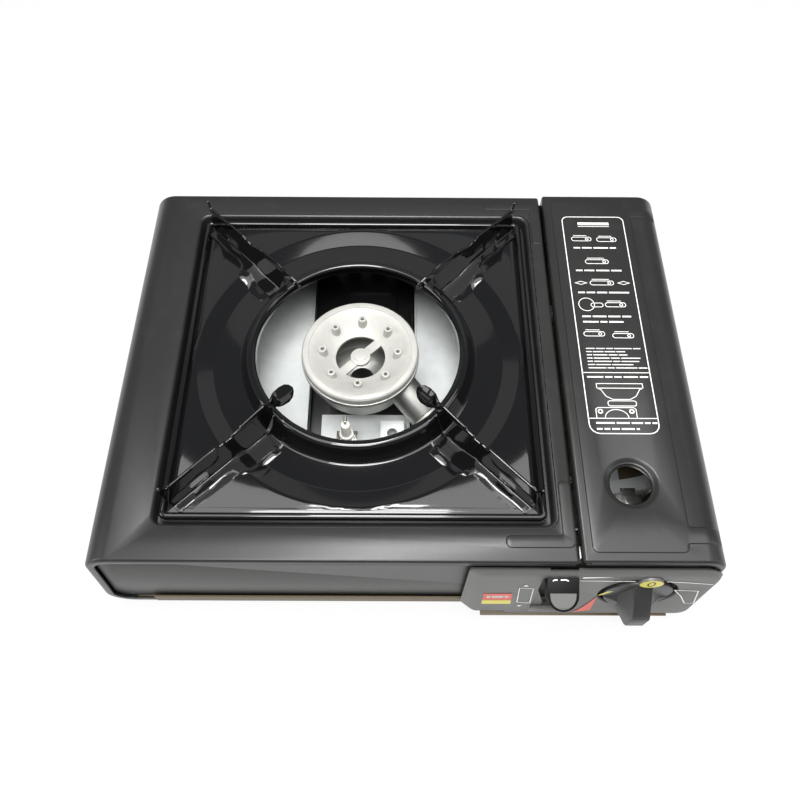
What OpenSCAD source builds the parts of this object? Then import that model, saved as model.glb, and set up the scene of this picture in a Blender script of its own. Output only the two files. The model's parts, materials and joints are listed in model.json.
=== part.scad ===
// Portable butane stove: a folded steel body with a burner at the left and a
// lidded cartridge bay at the right. Drawn about the burner opening's centre,
// then moved so that the origin is under the middle of the whole stove, on
// the table. X runs to the right, Y to the back, Z up. Millimetres.

/* [Body] */
// Height of the top plate above the table
top_h = 83; // [78:1:100]
// From the burner opening's centre to the widest point of the left wall
left_reach = 141.5; // [134:0.5:170]
// From the burner opening's centre to the widest point of the lid
right_reach = 191.5; // [190:0.5:215]
// From the burner opening's centre to the front edge of the cover
front_reach = 121.7; // [118:0.1:135]
// From the burner opening's centre to the back edge of the cover
back_reach = 120.1; // [118:0.1:140]
// Thickness of the folded steel sheet
sheet = 1; // [0.7:0.1:1.2]
// Radius of the fold along the left shoulder and under the left wall
shoulder_r = 14; // [8:0.5:18]
// How far the left wall leans out on its way down
wall_flare = 6; // [0:0.5:9]
// Width of the flange turned in round the ends of the cover
edge_flange = 4; // [2:0.5:5]
// How far the cover reaches under the base
under_lap = 11; // [6:1:16]
// How far the front and rear panels sit behind the flanges
panel_recess = 1; // [0.5:0.1:2]
// Height of the lips round the base pan
base_lip = 9; // [6:0.5:11]
// Height of a rubber foot
foot_h = 7; // [4:0.5:12]
// Diameter of a rubber foot
foot_d = 17; // [12:0.5:22]
// From the burner opening's centre to the left feet
foot_left = 98; // [90:1:110]
// From the burner opening's centre to the right feet
foot_right = 168; // [155:1:172]
// From the cover's front and back edges to the middle of a foot
foot_inset = 18; // [14:1:30]
// Height of the ribs stamped in the cover
rib_h = 0.7; // [0.3:0.1:1.5]
// Diameter of a vent hole in the rear panel
vent_d = 7; // [4:0.5:9]

/* [Pan opening] */
// Width of the square opening in the cover
opening_w = 204; // [200:1:208]
// Corner radius of the opening
opening_r = 5; // [3:0.5:9]
// Depth of the ledge that carries the drip pan
ledge_depth = 9; // [7:0.5:11]
// Width of that ledge
ledge_w = 6; // [4:0.5:8]

/* [Drip pan] */
// Gap between the drip pan and the opening, all round
pan_gap = 2.25; // [1:0.25:4]
// Where the pan lies in its play, to the right
pan_dx = -0.6; // [-0.8:0.1:0.8]
// Where the pan lies in its play, to the back
pan_dy = 0.9; // [-0.9:0.1:0.9]
// Depth of the pan's rim below the cover
rim_depth = 1.5; // [0.5:0.1:2.5]
// Depth of the pan's flat corners below the cover
flat_depth = 4; // [3:0.1:5]
// Depth of the ring channel below the cover
channel_depth = 7; // [6:0.1:8]
// Radius at which the dish starts
dish_r = 92.8; // [90:0.1:93.5]
// Inner and outer radius of the flat ring channel
channel_in_r = 67.5; // [66:0.5:73]
channel_out_r = 82.5; // [80:0.5:85]
// Radius of the flame opening
flame_r = 58.5; // [54:0.5:62]
// Height of the collar's top above the cover
collar_h = 4; // [2:0.5:5]

/* [Pan supports] */
// Thickness of a support's blade
arm_t = 1.2; // [0.8:0.1:2]
// Radius of a support's inner end
arm_in_r = 46.6; // [42:0.1:50]
// Radius of a support's outer tip
arm_out_r = 132.6; // [128:0.1:134]
// Height of the cooking plane above the cover
cook_h = 21.5; // [17:0.5:30]
// Width of a support's foot on the channel
arm_foot_w = 13; // [8:0.5:16]

/* [Burner] */
// Radius of the burner cap
cap_r = 33; // [28:0.5:36]
// Height of the cap above the cover
cap_h = 3; // [0:0.5:5]
// Height of the cap's edge
cap_skirt = 5; // [4:0.5:6]
// Depth of the dish in the cap
cap_dish = 8; // [5:0.5:9]
// Number of hollow posts on the cap
posts = 8; // [6:1:10]
// Diameter of a post's top
post_d = 4.4; // [3.4:0.1:5]
// Diameter of the hole in a post
post_hole_d = 2.2; // [1.2:0.1:2.8]
// Number of flame slots under the cap's edge
flame_slots = 36; // [24:1:48]
// Depth of the burner bowl below the cover
bowl_depth = 30; // [27:0.5:33]
// Outer radius of the mixing tube
tube_r = 8; // [6.5:0.1:9]
// Wall of the mixing tube and the bowl
cast_wall = 1.6; // [1.2:0.1:2.2]
// Direction of the mixing tube seen from above, degrees
tube_turn = -47; // [-50:0.5:-44]
// Fall of the mixing tube, degrees
tube_fall = 15; // [12:0.5:17]
// Depth of the bridge that carries the burner below the cover
bridge_depth = 47; // [44:0.5:54]

/* [Cartridge bay] */
// Gap between the cover and the lid
seam_gap = 1.8; // [1:0.1:3]
// From the burner opening's centre to the cover's right edge
seam_x = 112.3; // [110:0.1:114]
// How far the lid stands above the cover
lid_lift = 1.5; // [0.5:0.1:2.5]
// Radius of the lid's shoulder
lid_r = 13; // [9:0.5:16]
// How far the lid's wall leans out
lid_flare = 3.5; // [0:0.5:6]
// How far the lid's wall hangs below the cover
lid_skirt = 35; // [30:0.5:42]
// Height of the lid's raised field
field_h = 0.7; // [0.3:0.1:1.5]
// Radius of the window in the lid
window_r = 11.4; // [8:0.2:14]
// Diameter of the gas cartridge that the bay holds
cartridge_d = 70; // [66:0.5:71]
// Thickness of a cradle saddle
saddle_t = 9; // [6:0.5:14]
// Thickness of the cradle under the cartridge
cradle_t = 2.5; // [1.5:0.5:3.5]

/* [Controls] */
// Height of the knob's axis above the table
knob_z = 46.5; // [45:0.5:48]
// How far the knob's axis is to the right of the bay's middle
knob_shift = 1; // [0:0.5:3]
// Radius of the pocket that the knob turns in
pocket_r = 21.5; // [19:0.5:22.5]
// Gap round the knob
knob_gap = 3.4; // [0.5:0.1:4]
// How far the knob stands out from the burner opening's centre
knob_reach = 140.5; // [137:0.5:150]
// Width of the knob's grip
grip_w = 9; // [7:0.5:12]
// How far the control housing stands out in front of the cover
housing_depth = 7.1; // [6.5:0.1:9]
// Wall of the control housing
housing_wall = 1.8; // [1.2:0.1:2.5]
// Middle of the lock lever
lever_x = 106.2; // [105.5:0.1:106.8]
// Width of the lever's tongue
tongue_w = 16; // [11:0.5:17]
// How far the lever's tongue stands out of the housing
tongue_out = 11.6; // [8:0.1:11.6]
// Fall of the lever's tongue to the front, degrees
tongue_fall = 29; // [20:1:34]
// Depth of the skirt round the lever's tongue
tongue_depth = 8; // [6:0.5:9]
// How far the lever's slot reaches down below its tongue, besides the travel
tongue_h = 44.5; // [28:0.5:45]
// Travel of the lock lever
lever_travel = 12; // [8:0.5:12.5]
// Travel of the fork that the lever moves
fork_travel = 6; // [4:0.5:7]
// Radius of the spindle
spindle_r = 4; // [3:0.1:5]
// Radius of the pins that join lever and fork
link_pin_r = 1.5; // [1:0.1:2]
// Turn of the knob from off to lighting, degrees
knob_turn = 100; // [80:5:110]
// Travel of the igniter's plunger
plunger_travel = 5; // [3:0.5:6]
// Radius of the igniter's plunger
plunger_r = 1.6; // [1.2:0.1:2.2]
// Radius of the gas inlet that the cartridge's valve enters
inlet_r = 6.5; // [5:0.1:8]

/* [Clearances] */
// Radial clearance of a turning or sliding fit
running = 0.06; // [0.02:0.01:0.1]
// Gap between pieces that move past each other
free_gap = 0.4; // [0.3:0.1:0.6]

/* [Hidden] */
$fn = 48;
e = 0.01;

// the body's outline in X and Z
base_z = foot_h;
floor_z = base_z + sheet;
front_y = -front_reach;
back_y = back_reach;
depth = front_reach + back_reach;
shoulder = [-(left_reach - wall_flare - shoulder_r), top_h - shoulder_r];
heel = [-(left_reach - shoulder_r), base_z + shoulder_r];
under_x = heel.x + under_lap;
panel_gap = 1;
front_panel_y = front_y + sheet + panel_recess;
rear_panel_y = back_y - 2 * sheet - panel_recess;

// the cartridge bay
lid_x = seam_x + seam_gap;
lid_top = top_h + lid_lift;
lid_shoulder = [right_reach - lid_flare - lid_r, lid_top - lid_r];
lid_foot_z = top_h - lid_skirt;
lid_heel = [right_reach - lid_r, lid_foot_z - 2];
side_x = right_reach - 4.1;
hinge = [right_reach - 3.5, lid_foot_z + 1.5];
side_top = hinge.y - 4.5;
hinge_pin_r = 1.5;
ear_r = 3.4;
seam_lip = 5;
bay_panel_top = top_h - seam_lip - free_gap;
notch_z = hinge.y + 5.5;
notch_y = 4.6;
partition_x = seam_x - 2.8;
bay_x = partition_x + sheet;
can_x = (bay_x + side_x) / 2;
can_z = floor_z + cradle_t + cartridge_d / 2 + 0.5;
window = [can_x - 5.4, -79.5];

// the drip pan
pan_c = [pan_dx, pan_dy];
pan_half = opening_w / 2 - pan_gap;
pan_r = opening_r - 1;

// the burner
tube_start = [33, -21, top_h - 22];
tube_in = -22;
tube_out = 58;
jet_end = 78;
tube_dir = [cos(tube_turn) * cos(tube_fall), sin(tube_turn) * cos(tube_fall), -sin(tube_fall)];
jet_at = tube_start + jet_end * tube_dir;
bridge_z = top_h - bridge_depth;
bridge_half = 31.5;
bridge_y = opening_w / 2 + 2;
shield_z = bridge_z - 5;
pipe_r = 2.5;
pipe_y = -90;
pipe_z = bridge_z + 4;
pipe_offset = 14;
burner_c = [0.6, 0.5];
saddles = [-56, 74];

// the controls
knob_x = can_x + knob_shift;
housing_x0 = 58;
housing_x1 = right_reach - 2.6;
housing_back = front_y - free_gap;
housing_front = -(front_reach + housing_depth);
face_lean = 3.6;
face_low = floor_z + 4;
face_high = top_h - 11;
end_r = 12;
disc_y = housing_front + 2.2;
disc_t = 2.2;
socket_y = disc_y - 4;
tongue_top = top_h - 16.4;
slot_top = top_h - 12;
reg_front_y = front_panel_y + sheet + 6.2;
reg_plate_t = 3;
reg_plate = 34;
reg_r = 17;
neck_r = 12;
inlet_y = -84;
inlet_depth = 6;
bonnet_x = knob_x + reg_r + 1;
bonnet_y = reg_front_y + 8.5;
bonnet_r = 10.5;
screw_r = 0.9;
screw_pcr = bonnet_r - 2;
seal_r = 4.5;
seal_t = 3;
cam_r = 8;
cam_t = 4;
cam_gap = 0.25;
piezo = 10;
pin_y = -106;
pin_z = 50;
guide_y = -82;
fork_y = -69;
slope = atan2(lever_travel, -fork_travel);

// the whole stove's box, whose middle is the origin
mid_x = (right_reach - left_reach) / 2;
mid_y = (back_reach - knob_reach) / 2;

// where the ignition lead bends, from the electrode to the igniter
lead_route = [[-7, -40, bridge_z + 5.6], [-6.9, -40.6, bridge_z + 4.2], [-6, -57, bridge_z + 3.9],
              [14, -92, bridge_z + 3.8], [30, -109, bridge_z + 3.4], [38, -112, bridge_z - 5], [46, -112, 22],
              [112, -112, 21.7], [118, -113, 26], [120, -113.7, 34], [120, -113.7, knob_z - piezo / 2]];
lead_r = 1.2;

echo(part_width = left_reach + right_reach, part_depth = back_reach + knob_reach, part_height = top_h + cook_h);

// ---------------------------------------------------------------- helpers

module placed() {
    translate([-mid_x, -mid_y, 0]) children();
}

// extrudes a drawing in X and Z from y towards the back
module along_y(y, t) {
    translate([0, y + t, 0]) rotate([90, 0, 0]) linear_extrude(t) children();
}

// extrudes a drawing in Y and Z from x towards the right
module along_x(x, t) {
    translate([x, 0, 0]) rotate([90, 0, 90]) linear_extrude(t) children();
}

// a rounded rectangle between two corners
module slab2d(a, b, r) {
    translate([a.x + r, a.y]) square([b.x - a.x - 2 * r, b.y - a.y]);
    translate([a.x, a.y + r]) square([b.x - a.x, b.y - a.y - 2 * r]);
    for (x = [a.x + r, b.x - r], y = [a.y + r, b.y - r]) translate([x, y]) circle(r);
}

module block(a, b) {
    translate(a) cube(b - a);
}

module rod_x(x0, x1, y, z, r) {
    translate([x0, y, z]) rotate([0, 90, 0]) cylinder(h = x1 - x0, r = r);
}

module rod_y(y0, y1, x, z, r) {
    translate([x, y1, z]) rotate([90, 0, 0]) cylinder(h = y1 - y0, r = r);
}

module rod_z(z0, z1, x, y, r) {
    translate([x, y, z0]) cylinder(h = z1 - z0, r = r);
}

// a rod along the mixing tube's axis, between two distances along it
module tube_rod(s0, s1, r) {
    translate(tube_start + s0 * tube_dir) rotate([0, 90 + tube_fall, tube_turn]) cylinder(h = s1 - s0, r = r);
}

// ---------------------------------------------------------------- the folded outlines

// everything inside the body's left outline, drawn in by an inset
module body_fill(inset) {
    run = heel - shoulder;
    out = [run.y, -run.x] / norm(run) * (shoulder_r - inset);
    r = shoulder_r - inset;
    translate(shoulder) circle(r);
    translate(heel) circle(r);
    polygon([shoulder, shoulder + out, heel + out, heel]);
    polygon([shoulder, heel, [shoulder.x, heel.y]]);
    translate([heel.x, base_z + inset]) square([shoulder.x - heel.x, shoulder_r - inset]);
    translate([shoulder.x, base_z + inset]) square([300, top_h - base_z - 2 * inset]);
}

// the part of that outline which the cover follows
module cover_reach() {
    translate([-300, 0]) square([300 + under_x, 300]);
    translate([under_x - e, top_h - 20]) square([seam_x - under_x + e, 40]);
}

module cover_strip(from, to) {
    intersection() {
        difference() {
            body_fill(from);
            body_fill(to);
        }
        cover_reach();
    }
}

// everything inside the lid's outline, drawn in by an inset
module lid_fill(inset) {
    run = lid_heel - lid_shoulder;
    out = [-run.y, run.x] / norm(run) * (lid_r - inset);
    r = lid_r - inset;
    translate(lid_shoulder) circle(r);
    polygon([lid_shoulder, lid_shoulder + out, lid_heel + out, lid_heel]);
    translate([lid_x - 50, lid_heel.y]) square([lid_shoulder.x - lid_x + 50, lid_top - inset - lid_heel.y]);
    polygon([lid_shoulder, lid_heel, [lid_shoulder.x, lid_heel.y]]);
}

module lid_strip(from, to) {
    intersection() {
        difference() {
            lid_fill(from);
            lid_fill(to);
        }
        translate([lid_x, lid_foot_z]) square([200, 200]);
    }
}

// ---------------------------------------------------------------- fixed sheet metal

module base_pan() {
    tongue_x1 = housing_x1 - end_r;
    color([0.42, 0.37, 0.27]) placed() difference() {
        union() {
            block([under_x + 0.3, front_y, base_z], [side_x + 2 * sheet, back_y, floor_z]);
            block([heel.x, front_y + 2 * sheet, floor_z], [under_x + 1.3, back_y - 2 * sheet, floor_z + sheet]);
            for (y = [front_y, back_y - sheet])
                block([under_x + 0.3, y, base_z], [side_x + 2 * sheet, y + sheet, base_z + base_lip]);
            block([side_x + sheet, front_y, base_z], [side_x + 2 * sheet, back_y, base_z + base_lip]);
            block([housing_x0 + 12, housing_front - 0.6, base_z], [tongue_x1, front_y, floor_z]);
            for (y = [-62, 0, 62])
                block([-90, y - 5, floor_z - e], [90, y + 5, floor_z + 1.5]);
        }
        for (y = [-62, 0, 62])
            block([-89, y - 4, base_z - e], [89, y + 4, floor_z + 0.5]);
    }
}

module rubber_feet() {
    r = foot_d / 2;
    color([0.08, 0.08, 0.08]) placed()
        for (x = [-foot_left, foot_right], y = [front_y + foot_inset, back_y - foot_inset])
            translate([x, y, 0]) rotate_extrude()
                polygon([[0, 0], [r - 2, 0], [r - 1, 1], [r, foot_h - 1], [r, foot_h], [0, foot_h]]);
}

module ribs(h) {
    rib_w = 5;
    x1 = seam_x - 1.6;
    x0 = seam_x - 35.5;
    y0 = front_y + 8.5;
    y1 = back_y - 6.1;
    linear_extrude(h) {
        slab2d([x0, y0], [x1, y0 + rib_w], 2);
        slab2d([x1 - rib_w, y0], [x1, y0 + 34.5], 2);
        slab2d([x0, y1 - rib_w], [x1, y1], 2);
        slab2d([x1 - rib_w, y1 - 33], [x1, y1], 2);
    }
}

module body_cover() {
    half = opening_w / 2;
    color([0.24, 0.24, 0.23]) placed() difference() {
        union() {
            along_y(front_y, depth) cover_strip(0, sheet);
            along_y(front_y, sheet) cover_strip(0, edge_flange);
            along_y(back_y - sheet, sheet) cover_strip(0, edge_flange);
            block([seam_x - sheet, front_y, top_h - seam_lip], [seam_x, back_y, top_h]);
            translate([0, 0, top_h - ledge_depth - sheet]) linear_extrude(ledge_depth + sheet)
                slab2d([-half - sheet, -half - sheet], [half + sheet, half + sheet], opening_r + sheet);
            translate([0, 0, top_h - e]) ribs(rib_h + e);
        }
        translate([0, 0, top_h - ledge_depth]) linear_extrude(40)
            slab2d([-half, -half], [half, half], opening_r);
        translate([0, 0, top_h - 40]) linear_extrude(80)
            slab2d([-half + ledge_w, -half + ledge_w], [half - ledge_w, half - ledge_w], opening_r);
    }
}

// outline of the front and rear panels, inside the cover and under the lid
module panel2d() {
    difference() {
        union() {
            intersection() {
                body_fill(edge_flange + panel_gap);
                translate([-300, floor_z + sheet]) square([300 + partition_x, 300]);
            }
            translate([under_x + 2, floor_z]) square([side_x - under_x - 2, side_top - floor_z]);
            translate([under_x + 2, floor_z]) square([partition_x - under_x - 2, top_h - sheet - floor_z]);
            translate([partition_x - e, floor_z]) square([side_x - 2.4 - partition_x, bay_panel_top - floor_z]);
            translate(hinge) circle(3.5);
            translate([side_x - 6, side_top - e]) square([5.5, hinge.y - side_top]);
        }
        translate(hinge) circle(hinge_pin_r);
    }
}

module front_panel() {
    color([0.36, 0.36, 0.35]) placed() difference() {
        along_y(front_panel_y, sheet) panel2d();
        rod_y(front_panel_y - e, front_panel_y + sheet + e, knob_x, knob_z, spindle_r + 1.5);
        block([lever_x - 2.2, front_panel_y - e, pin_z - 22], [lever_x + 2.2, front_panel_y + sheet + e, pin_z + 19]);
    }
}

module rear_panel() {
    vent_rows = [0, 1];
    color([0.22, 0.22, 0.21]) placed() difference() {
        along_y(rear_panel_y, sheet) panel2d();
        for (row = vent_rows, i = [-4:4])
            rod_y(rear_panel_y - e, rear_panel_y + sheet + e, i * 18 + row * 9, top_h - 34 - row * 14, vent_d / 2);
        for (i = [-1:1])
            rod_y(rear_panel_y - e, rear_panel_y + sheet + e, can_x + i * 16, can_z, vent_d / 2);
    }
}

module side_panel() {
    color([0.2, 0.2, 0.2]) placed() {
        y0 = front_panel_y + sheet;
        difference() {
            union() {
                block([side_x, y0, floor_z], [side_x + sheet, rear_panel_y, side_top]);
                block([side_x - 7, y0, floor_z], [side_x + sheet, rear_panel_y, floor_z + sheet]);
            }
            for (y = [-60:30:60])
                rod_x(side_x - e, side_x + sheet + e, y, side_top - 10, vent_d / 2);
        }
    }
}

// a slot along Y in the partition, for a link pin
module pin_slot(y) {
    r = link_pin_r + free_gap / 2;
    along_x(partition_x - e, sheet + 2 * e) {
        translate([y, pin_z]) circle(r);
        translate([y - fork_travel, pin_z]) circle(r);
        translate([y - fork_travel, pin_z - r]) square([fork_travel, 2 * r]);
    }
}

module bay_partition() {
    y0 = front_panel_y + sheet;
    color([0.72, 0.73, 0.72]) placed() difference() {
        union() {
            block([partition_x, y0, floor_z], [bay_x, rear_panel_y, top_h - sheet]);
            block([partition_x - 8, y0, floor_z], [bay_x, rear_panel_y, floor_z + sheet]);
        }
        pin_slot(pin_y);
        pin_slot(guide_y);
        rod_x(partition_x - e, bay_x + e, pipe_y, pipe_z, pipe_r + free_gap);
        rod_x(partition_x - e, bay_x + e, -112, 21.7, lead_r + 2 * free_gap);
        for (y = [-40:16:88])
            block([partition_x - e, y, top_h - 34], [bay_x + e, y + 6, top_h - 18]);
    }
}

module heat_shield(side) {
    x0 = bridge_half + 1.5;
    x1 = opening_w / 2 - 2;
    placed() mirror([side > 0 ? 0 : 1, 0, 0]) difference() {
        union() {
            block([x0, -bridge_y + 6, shield_z], [x1, bridge_y - 6, shield_z + sheet]);
            block([x1 - sheet, -bridge_y + 6, floor_z], [x1, bridge_y - 6, shield_z + sheet]);
            block([x1 - 9, -bridge_y + 6, floor_z], [x1, bridge_y - 6, floor_z + sheet]);
            block([x0, -bridge_y + 6, shield_z], [x0 + sheet, bridge_y - 6, shield_z + 4]);
        }
        for (y = [-60, 60])
            block([x1 - 4, y - 20, shield_z - 12], [x1 + 1, y + 20, shield_z - 4]);
    }
}

module heat_shield_left() {
    color([0.78, 0.8, 0.79]) heat_shield(-1);
}

module heat_shield_right() {
    color([0.78, 0.8, 0.79]) heat_shield(1);
}

module burner_bridge() {
    flange = 6;
    color([0.07, 0.07, 0.07]) placed() difference() {
        union() {
            block([-bridge_half, -bridge_y, bridge_z], [bridge_half, bridge_y, bridge_z + sheet]);
            for (x = [-bridge_half, bridge_half - sheet])
                block([x, -bridge_y, bridge_z], [x + sheet, bridge_y, bridge_z + flange]);
            for (y = [-bridge_y, bridge_y - sheet])
                block([-bridge_half, y, floor_z], [bridge_half, y + sheet, bridge_z + sheet]);
            translate([4, 66, bridge_z]) linear_extrude(sheet + 1.5) slab2d([-17, -12], [17, 12], 4);
        }
        translate([4, 66, bridge_z + sheet + 0.7]) linear_extrude(2) slab2d([-14.5, -9.5], [14.5, 9.5], 3);
    }
}

module burner_plate() {
    z = bridge_z + sheet;
    color([0.8, 0.81, 0.8]) placed() difference() {
        union() {
            block([-24, -78, z], [bridge_half - sheet - 1, -16, z + sheet]);
            block([12, -42, z], [13.2, -26, z + 13]);
            block([12, -42, z + 12], [26, -26, z + 13]);
        }
        rod_z(z + 10, z + 15, 19, -34, 3);
        block([-14, -60, z - e], [-2, -50, z + sheet + e]);
    }
}

// ---------------------------------------------------------------- burner

module burner_cap() {
    z = top_h + cap_h;
    low = z - cap_dish;
    post_at = 0.65 * cap_r;
    open_r = 0.43 * cap_r;
    skin = 1.5;
    color([0.9, 0.9, 0.88]) placed() translate([burner_c.x, burner_c.y, 0]) difference() {
        union() {
            rotate_extrude($fn = 96) polygon([[open_r, low - skin], [0.6 * cap_r, low + 0.3 * cap_dish - skin],
                [0.8 * cap_r, z - 0.3 * cap_dish - skin], [0.86 * cap_r, z - cap_skirt], [cap_r, z - cap_skirt],
                [cap_r, z - 0.9], [cap_r - 0.8, z], [0.895 * cap_r, z], [0.885 * cap_r, z - 0.5],
                [0.86 * cap_r, z - 0.6], [0.76 * cap_r, z - 0.3 * cap_dish], [0.6 * cap_r, low + 0.3 * cap_dish],
                [open_r + 1.6, low + 0.3], [open_r, low]]);
            for (i = [0:posts - 1]) rotate(i * 360 / posts - 2) translate([post_at, 0, z - 0.85 * cap_dish])
                cylinder(h = 0.85 * cap_dish - 0.3, r1 = 3, r2 = post_d / 2);
            intersection() {
                translate([0, 0, low - skin]) cylinder(h = skin, r = open_r + 0.6);
                rotate(45) translate([-open_r - 1, -2.6, low - 4]) cube([2 * open_r + 2, 5.2, 5]);
            }
            translate([0, 0, low - skin]) cylinder(h = skin + 0.6, r = 5.6);
            translate([0, 0, low - 1]) cylinder(h = 2.2, r = 3.4);
        }
        for (i = [0:posts - 1]) rotate(i * 360 / posts - 2) translate([post_at, 0, z - 2 * cap_dish])
            cylinder(h = 3 * cap_dish, r = post_hole_d / 2);
        for (i = [0:flame_slots - 1]) rotate(i * 360 / flame_slots)
            translate([0.86 * cap_r - 1, -0.5, z - cap_skirt - e]) cube([0.2 * cap_r, 1, 0.9]);
    }
}

module burner_body() {
    rim_z = top_h + cap_h - cap_skirt;
    bot_z = top_h - bowl_depth;
    r = cap_r + 0.6;
    color([0.72, 0.72, 0.7]) placed() difference() {
        union() {
            translate([burner_c.x, burner_c.y, 0]) rotate_extrude($fn = 96) polygon([[8, bot_z], [r - 11, bot_z],
                [r - 6, bot_z + 6], [r - 3.5, rim_z - 7], [r, rim_z - 3], [r, rim_z],
                [r - cast_wall, rim_z], [r - cast_wall, rim_z - 2.4], [r - 5.2, rim_z - 6.4],
                [r - 7.4, bot_z + 6.6], [r - 11.4, bot_z + cast_wall], [8, bot_z + cast_wall]]);
            translate([burner_c.x, burner_c.y, 0]) rotate_extrude() polygon([[7, bridge_z + sheet], [14, bridge_z + sheet],
                [14, bridge_z + sheet + 2], [9, bridge_z + sheet + 3], [9, bot_z + cast_wall], [7, bot_z + cast_wall]]);
            difference() {
                tube_rod(-17, 8, tube_r + cast_wall);
                translate([burner_c.x, burner_c.y, bot_z + cast_wall]) cylinder(h = 60, r = r - 8);
            }
        }
        tube_rod(-40, 20, tube_r);
    }
}

module mixing_tube() {
    color([0.85, 0.85, 0.83]) placed() difference() {
        union() {
            tube_rod(tube_in, tube_out, tube_r);
            tube_rod(tube_out - 3, tube_out, tube_r + 1.5);
        }
        tube_rod(tube_in - 1, tube_out + 1, tube_r - 1);
        for (side = [-1, 1]) translate(tube_start + (tube_out - 10) * tube_dir)
            rotate([0, tube_fall, tube_turn]) translate([-4, side * tube_r - 2, -2.5]) cube([8, 4, 5]);
    }
}

module jet_nozzle() {
    color([0.78, 0.62, 0.3]) placed() difference() {
        union() {
            tube_rod(tube_out - 3, jet_end - 6, 2.2);
            tube_rod(tube_out + 3, jet_end - 5, 4);
        }
        tube_rod(tube_out - 4, jet_end - 4, 0.6);
    }
}

// from the jet along to an upright elbow, and from there into the regulator's neck
module gas_pipe() {
    elbow = [jet_at.x + pipe_offset, pipe_y];
    run = elbow - [jet_at.x, jet_at.y];
    low = min(jet_at.z, pipe_z) - 1.6 * pipe_r;
    high = max(jet_at.z, pipe_z) + 1.6 * pipe_r;
    color([0.75, 0.74, 0.7]) placed() difference() {
        union() {
            rod_x(elbow.x, can_x - neck_r / 2, elbow.y, pipe_z, pipe_r);
            rod_z(low, high, elbow.x, elbow.y, 1.6 * pipe_r);
            translate(jet_at) rotate([0, 90, atan2(run.y, run.x)]) cylinder(h = norm(run), r = pipe_r);
            tube_rod(jet_end - 5, jet_end + 3, 4.5);
        }
        rod_y(inlet_y - 40, inlet_y + 20, can_x, can_z, neck_r);
    }
}

// ---------------------------------------------------------------- gas controls

module regulator_body() {
    half = reg_plate / 2;
    plate_y = reg_front_y;
    color([0.66, 0.66, 0.65]) placed() difference() {
        union() {
            along_y(plate_y, reg_plate_t) slab2d([knob_x - half, knob_z - half], [knob_x + half, knob_z + half], 3);
            rod_y(plate_y, plate_y + 14.5, knob_x, knob_z, reg_r);
            rod_y(plate_y + 12.5, inlet_y, can_x, can_z, neck_r);
            rod_y(inlet_y - 2.5, inlet_y, can_x, can_z, neck_r + 2);
            for (x = [-1, 1], z = [-1, 1])
                rod_y(front_panel_y + sheet, plate_y + 1, knob_x + x * (half - 3.2), knob_z + z * (half - 3.2), 3);
            rod_x(knob_x, bonnet_x, bonnet_y, knob_z, 5);
            rod_x(bonnet_x - 3, bonnet_x, bonnet_y, knob_z, bonnet_r);
        }
        bonnet_holes();
        block([can_x - 8, inlet_y - 3, can_z + neck_r], [can_x + 8, inlet_y + 1, can_z + neck_r + 5]);
        rod_y(plate_y - e, plate_y + 9.5, knob_x, knob_z, spindle_r + running);
        rod_y(inlet_y - inlet_depth, inlet_y + e, can_x, can_z, inlet_r);
        rod_y(inlet_y - inlet_depth - seal_t, inlet_y - inlet_depth + e, can_x, can_z, seal_r);
    }
}

// the screw holes of the bonnet, at its four corners
module bonnet_holes() {
    for (a = [45:90:315])
        rod_x(bonnet_x - 2.5, bonnet_x + 4, bonnet_y + screw_pcr * cos(a), knob_z + screw_pcr * sin(a), screw_r);
}

module regulator_bonnet() {
    color([0.75, 0.75, 0.74]) placed() difference() {
        union() {
            rod_x(bonnet_x, bonnet_x + 3, bonnet_y, knob_z, bonnet_r);
            rod_x(bonnet_x + 3, bonnet_x + 6, bonnet_y, knob_z, bonnet_r - 4);
        }
        bonnet_holes();
    }
}

module regulator_screws() {
    color([0.8, 0.8, 0.78]) placed() for (a = [45:90:315]) {
        y = bonnet_y + screw_pcr * cos(a);
        z = knob_z + screw_pcr * sin(a);
        rod_x(bonnet_x - 2, bonnet_x + 3.1, y, z, screw_r);
        rod_x(bonnet_x + 3, bonnet_x + 4.2, y, z, screw_r + 0.6);
    }
}

module gas_seal() {
    color([0.1, 0.1, 0.1]) placed() difference() {
        rod_y(inlet_y - inlet_depth - seal_t, inlet_y - inlet_depth, can_x, can_z, seal_r);
        rod_y(inlet_y - inlet_depth - 5, inlet_y, can_x, can_z, 2);
    }
}

module locating_plate() {
    z = can_z + neck_r;
    color([0.86, 0.86, 0.84]) placed() difference() {
        union() {
            block([can_x - 7, -97, z], [can_x + 7, -76, z + 1.5]);
            block([can_x - 4, -76 - e, z], [can_x + 4, -72, z + 1.5]);
            block([can_x - 3, -73.5, z - 6], [can_x + 3, -72, z + 1.5]);
            block([can_x - 7, -97, z - 3], [can_x - 5.6, -88, z + 1.5]);
        }
        rod_y(-110, -60, can_x, can_z, neck_r);
        rod_z(z - 1, z + 2, can_x, -91, 1.5);
    }
}

module locating_screw() {
    z = can_z + neck_r;
    color([0.8, 0.66, 0.32]) placed() difference() {
        union() {
            rod_z(z, z + 1.6, can_x, -91, 1.5);
            rod_z(z + 1.5, z + 3.5, can_x, -91, 3);
        }
        block([can_x - 4, -91.4, z + 2.7], [can_x + 4, -90.6, z + 4]);
    }
}

module piezo_housing() {
    x0 = bay_x + 3.5;
    x1 = knob_x - cam_r - plunger_travel - 5;
    y0 = front_panel_y + sheet;
    cam_y = y0 + 1.2 + cam_t / 2;
    color([0.85, 0.83, 0.76]) placed() difference() {
        block([x0, y0, knob_z - piezo / 2], [x1, y0 + piezo, knob_z + piezo / 2]);
        rod_x(x0 + 2, x1 + e, cam_y, knob_z, plunger_r + running);
    }
}

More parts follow.
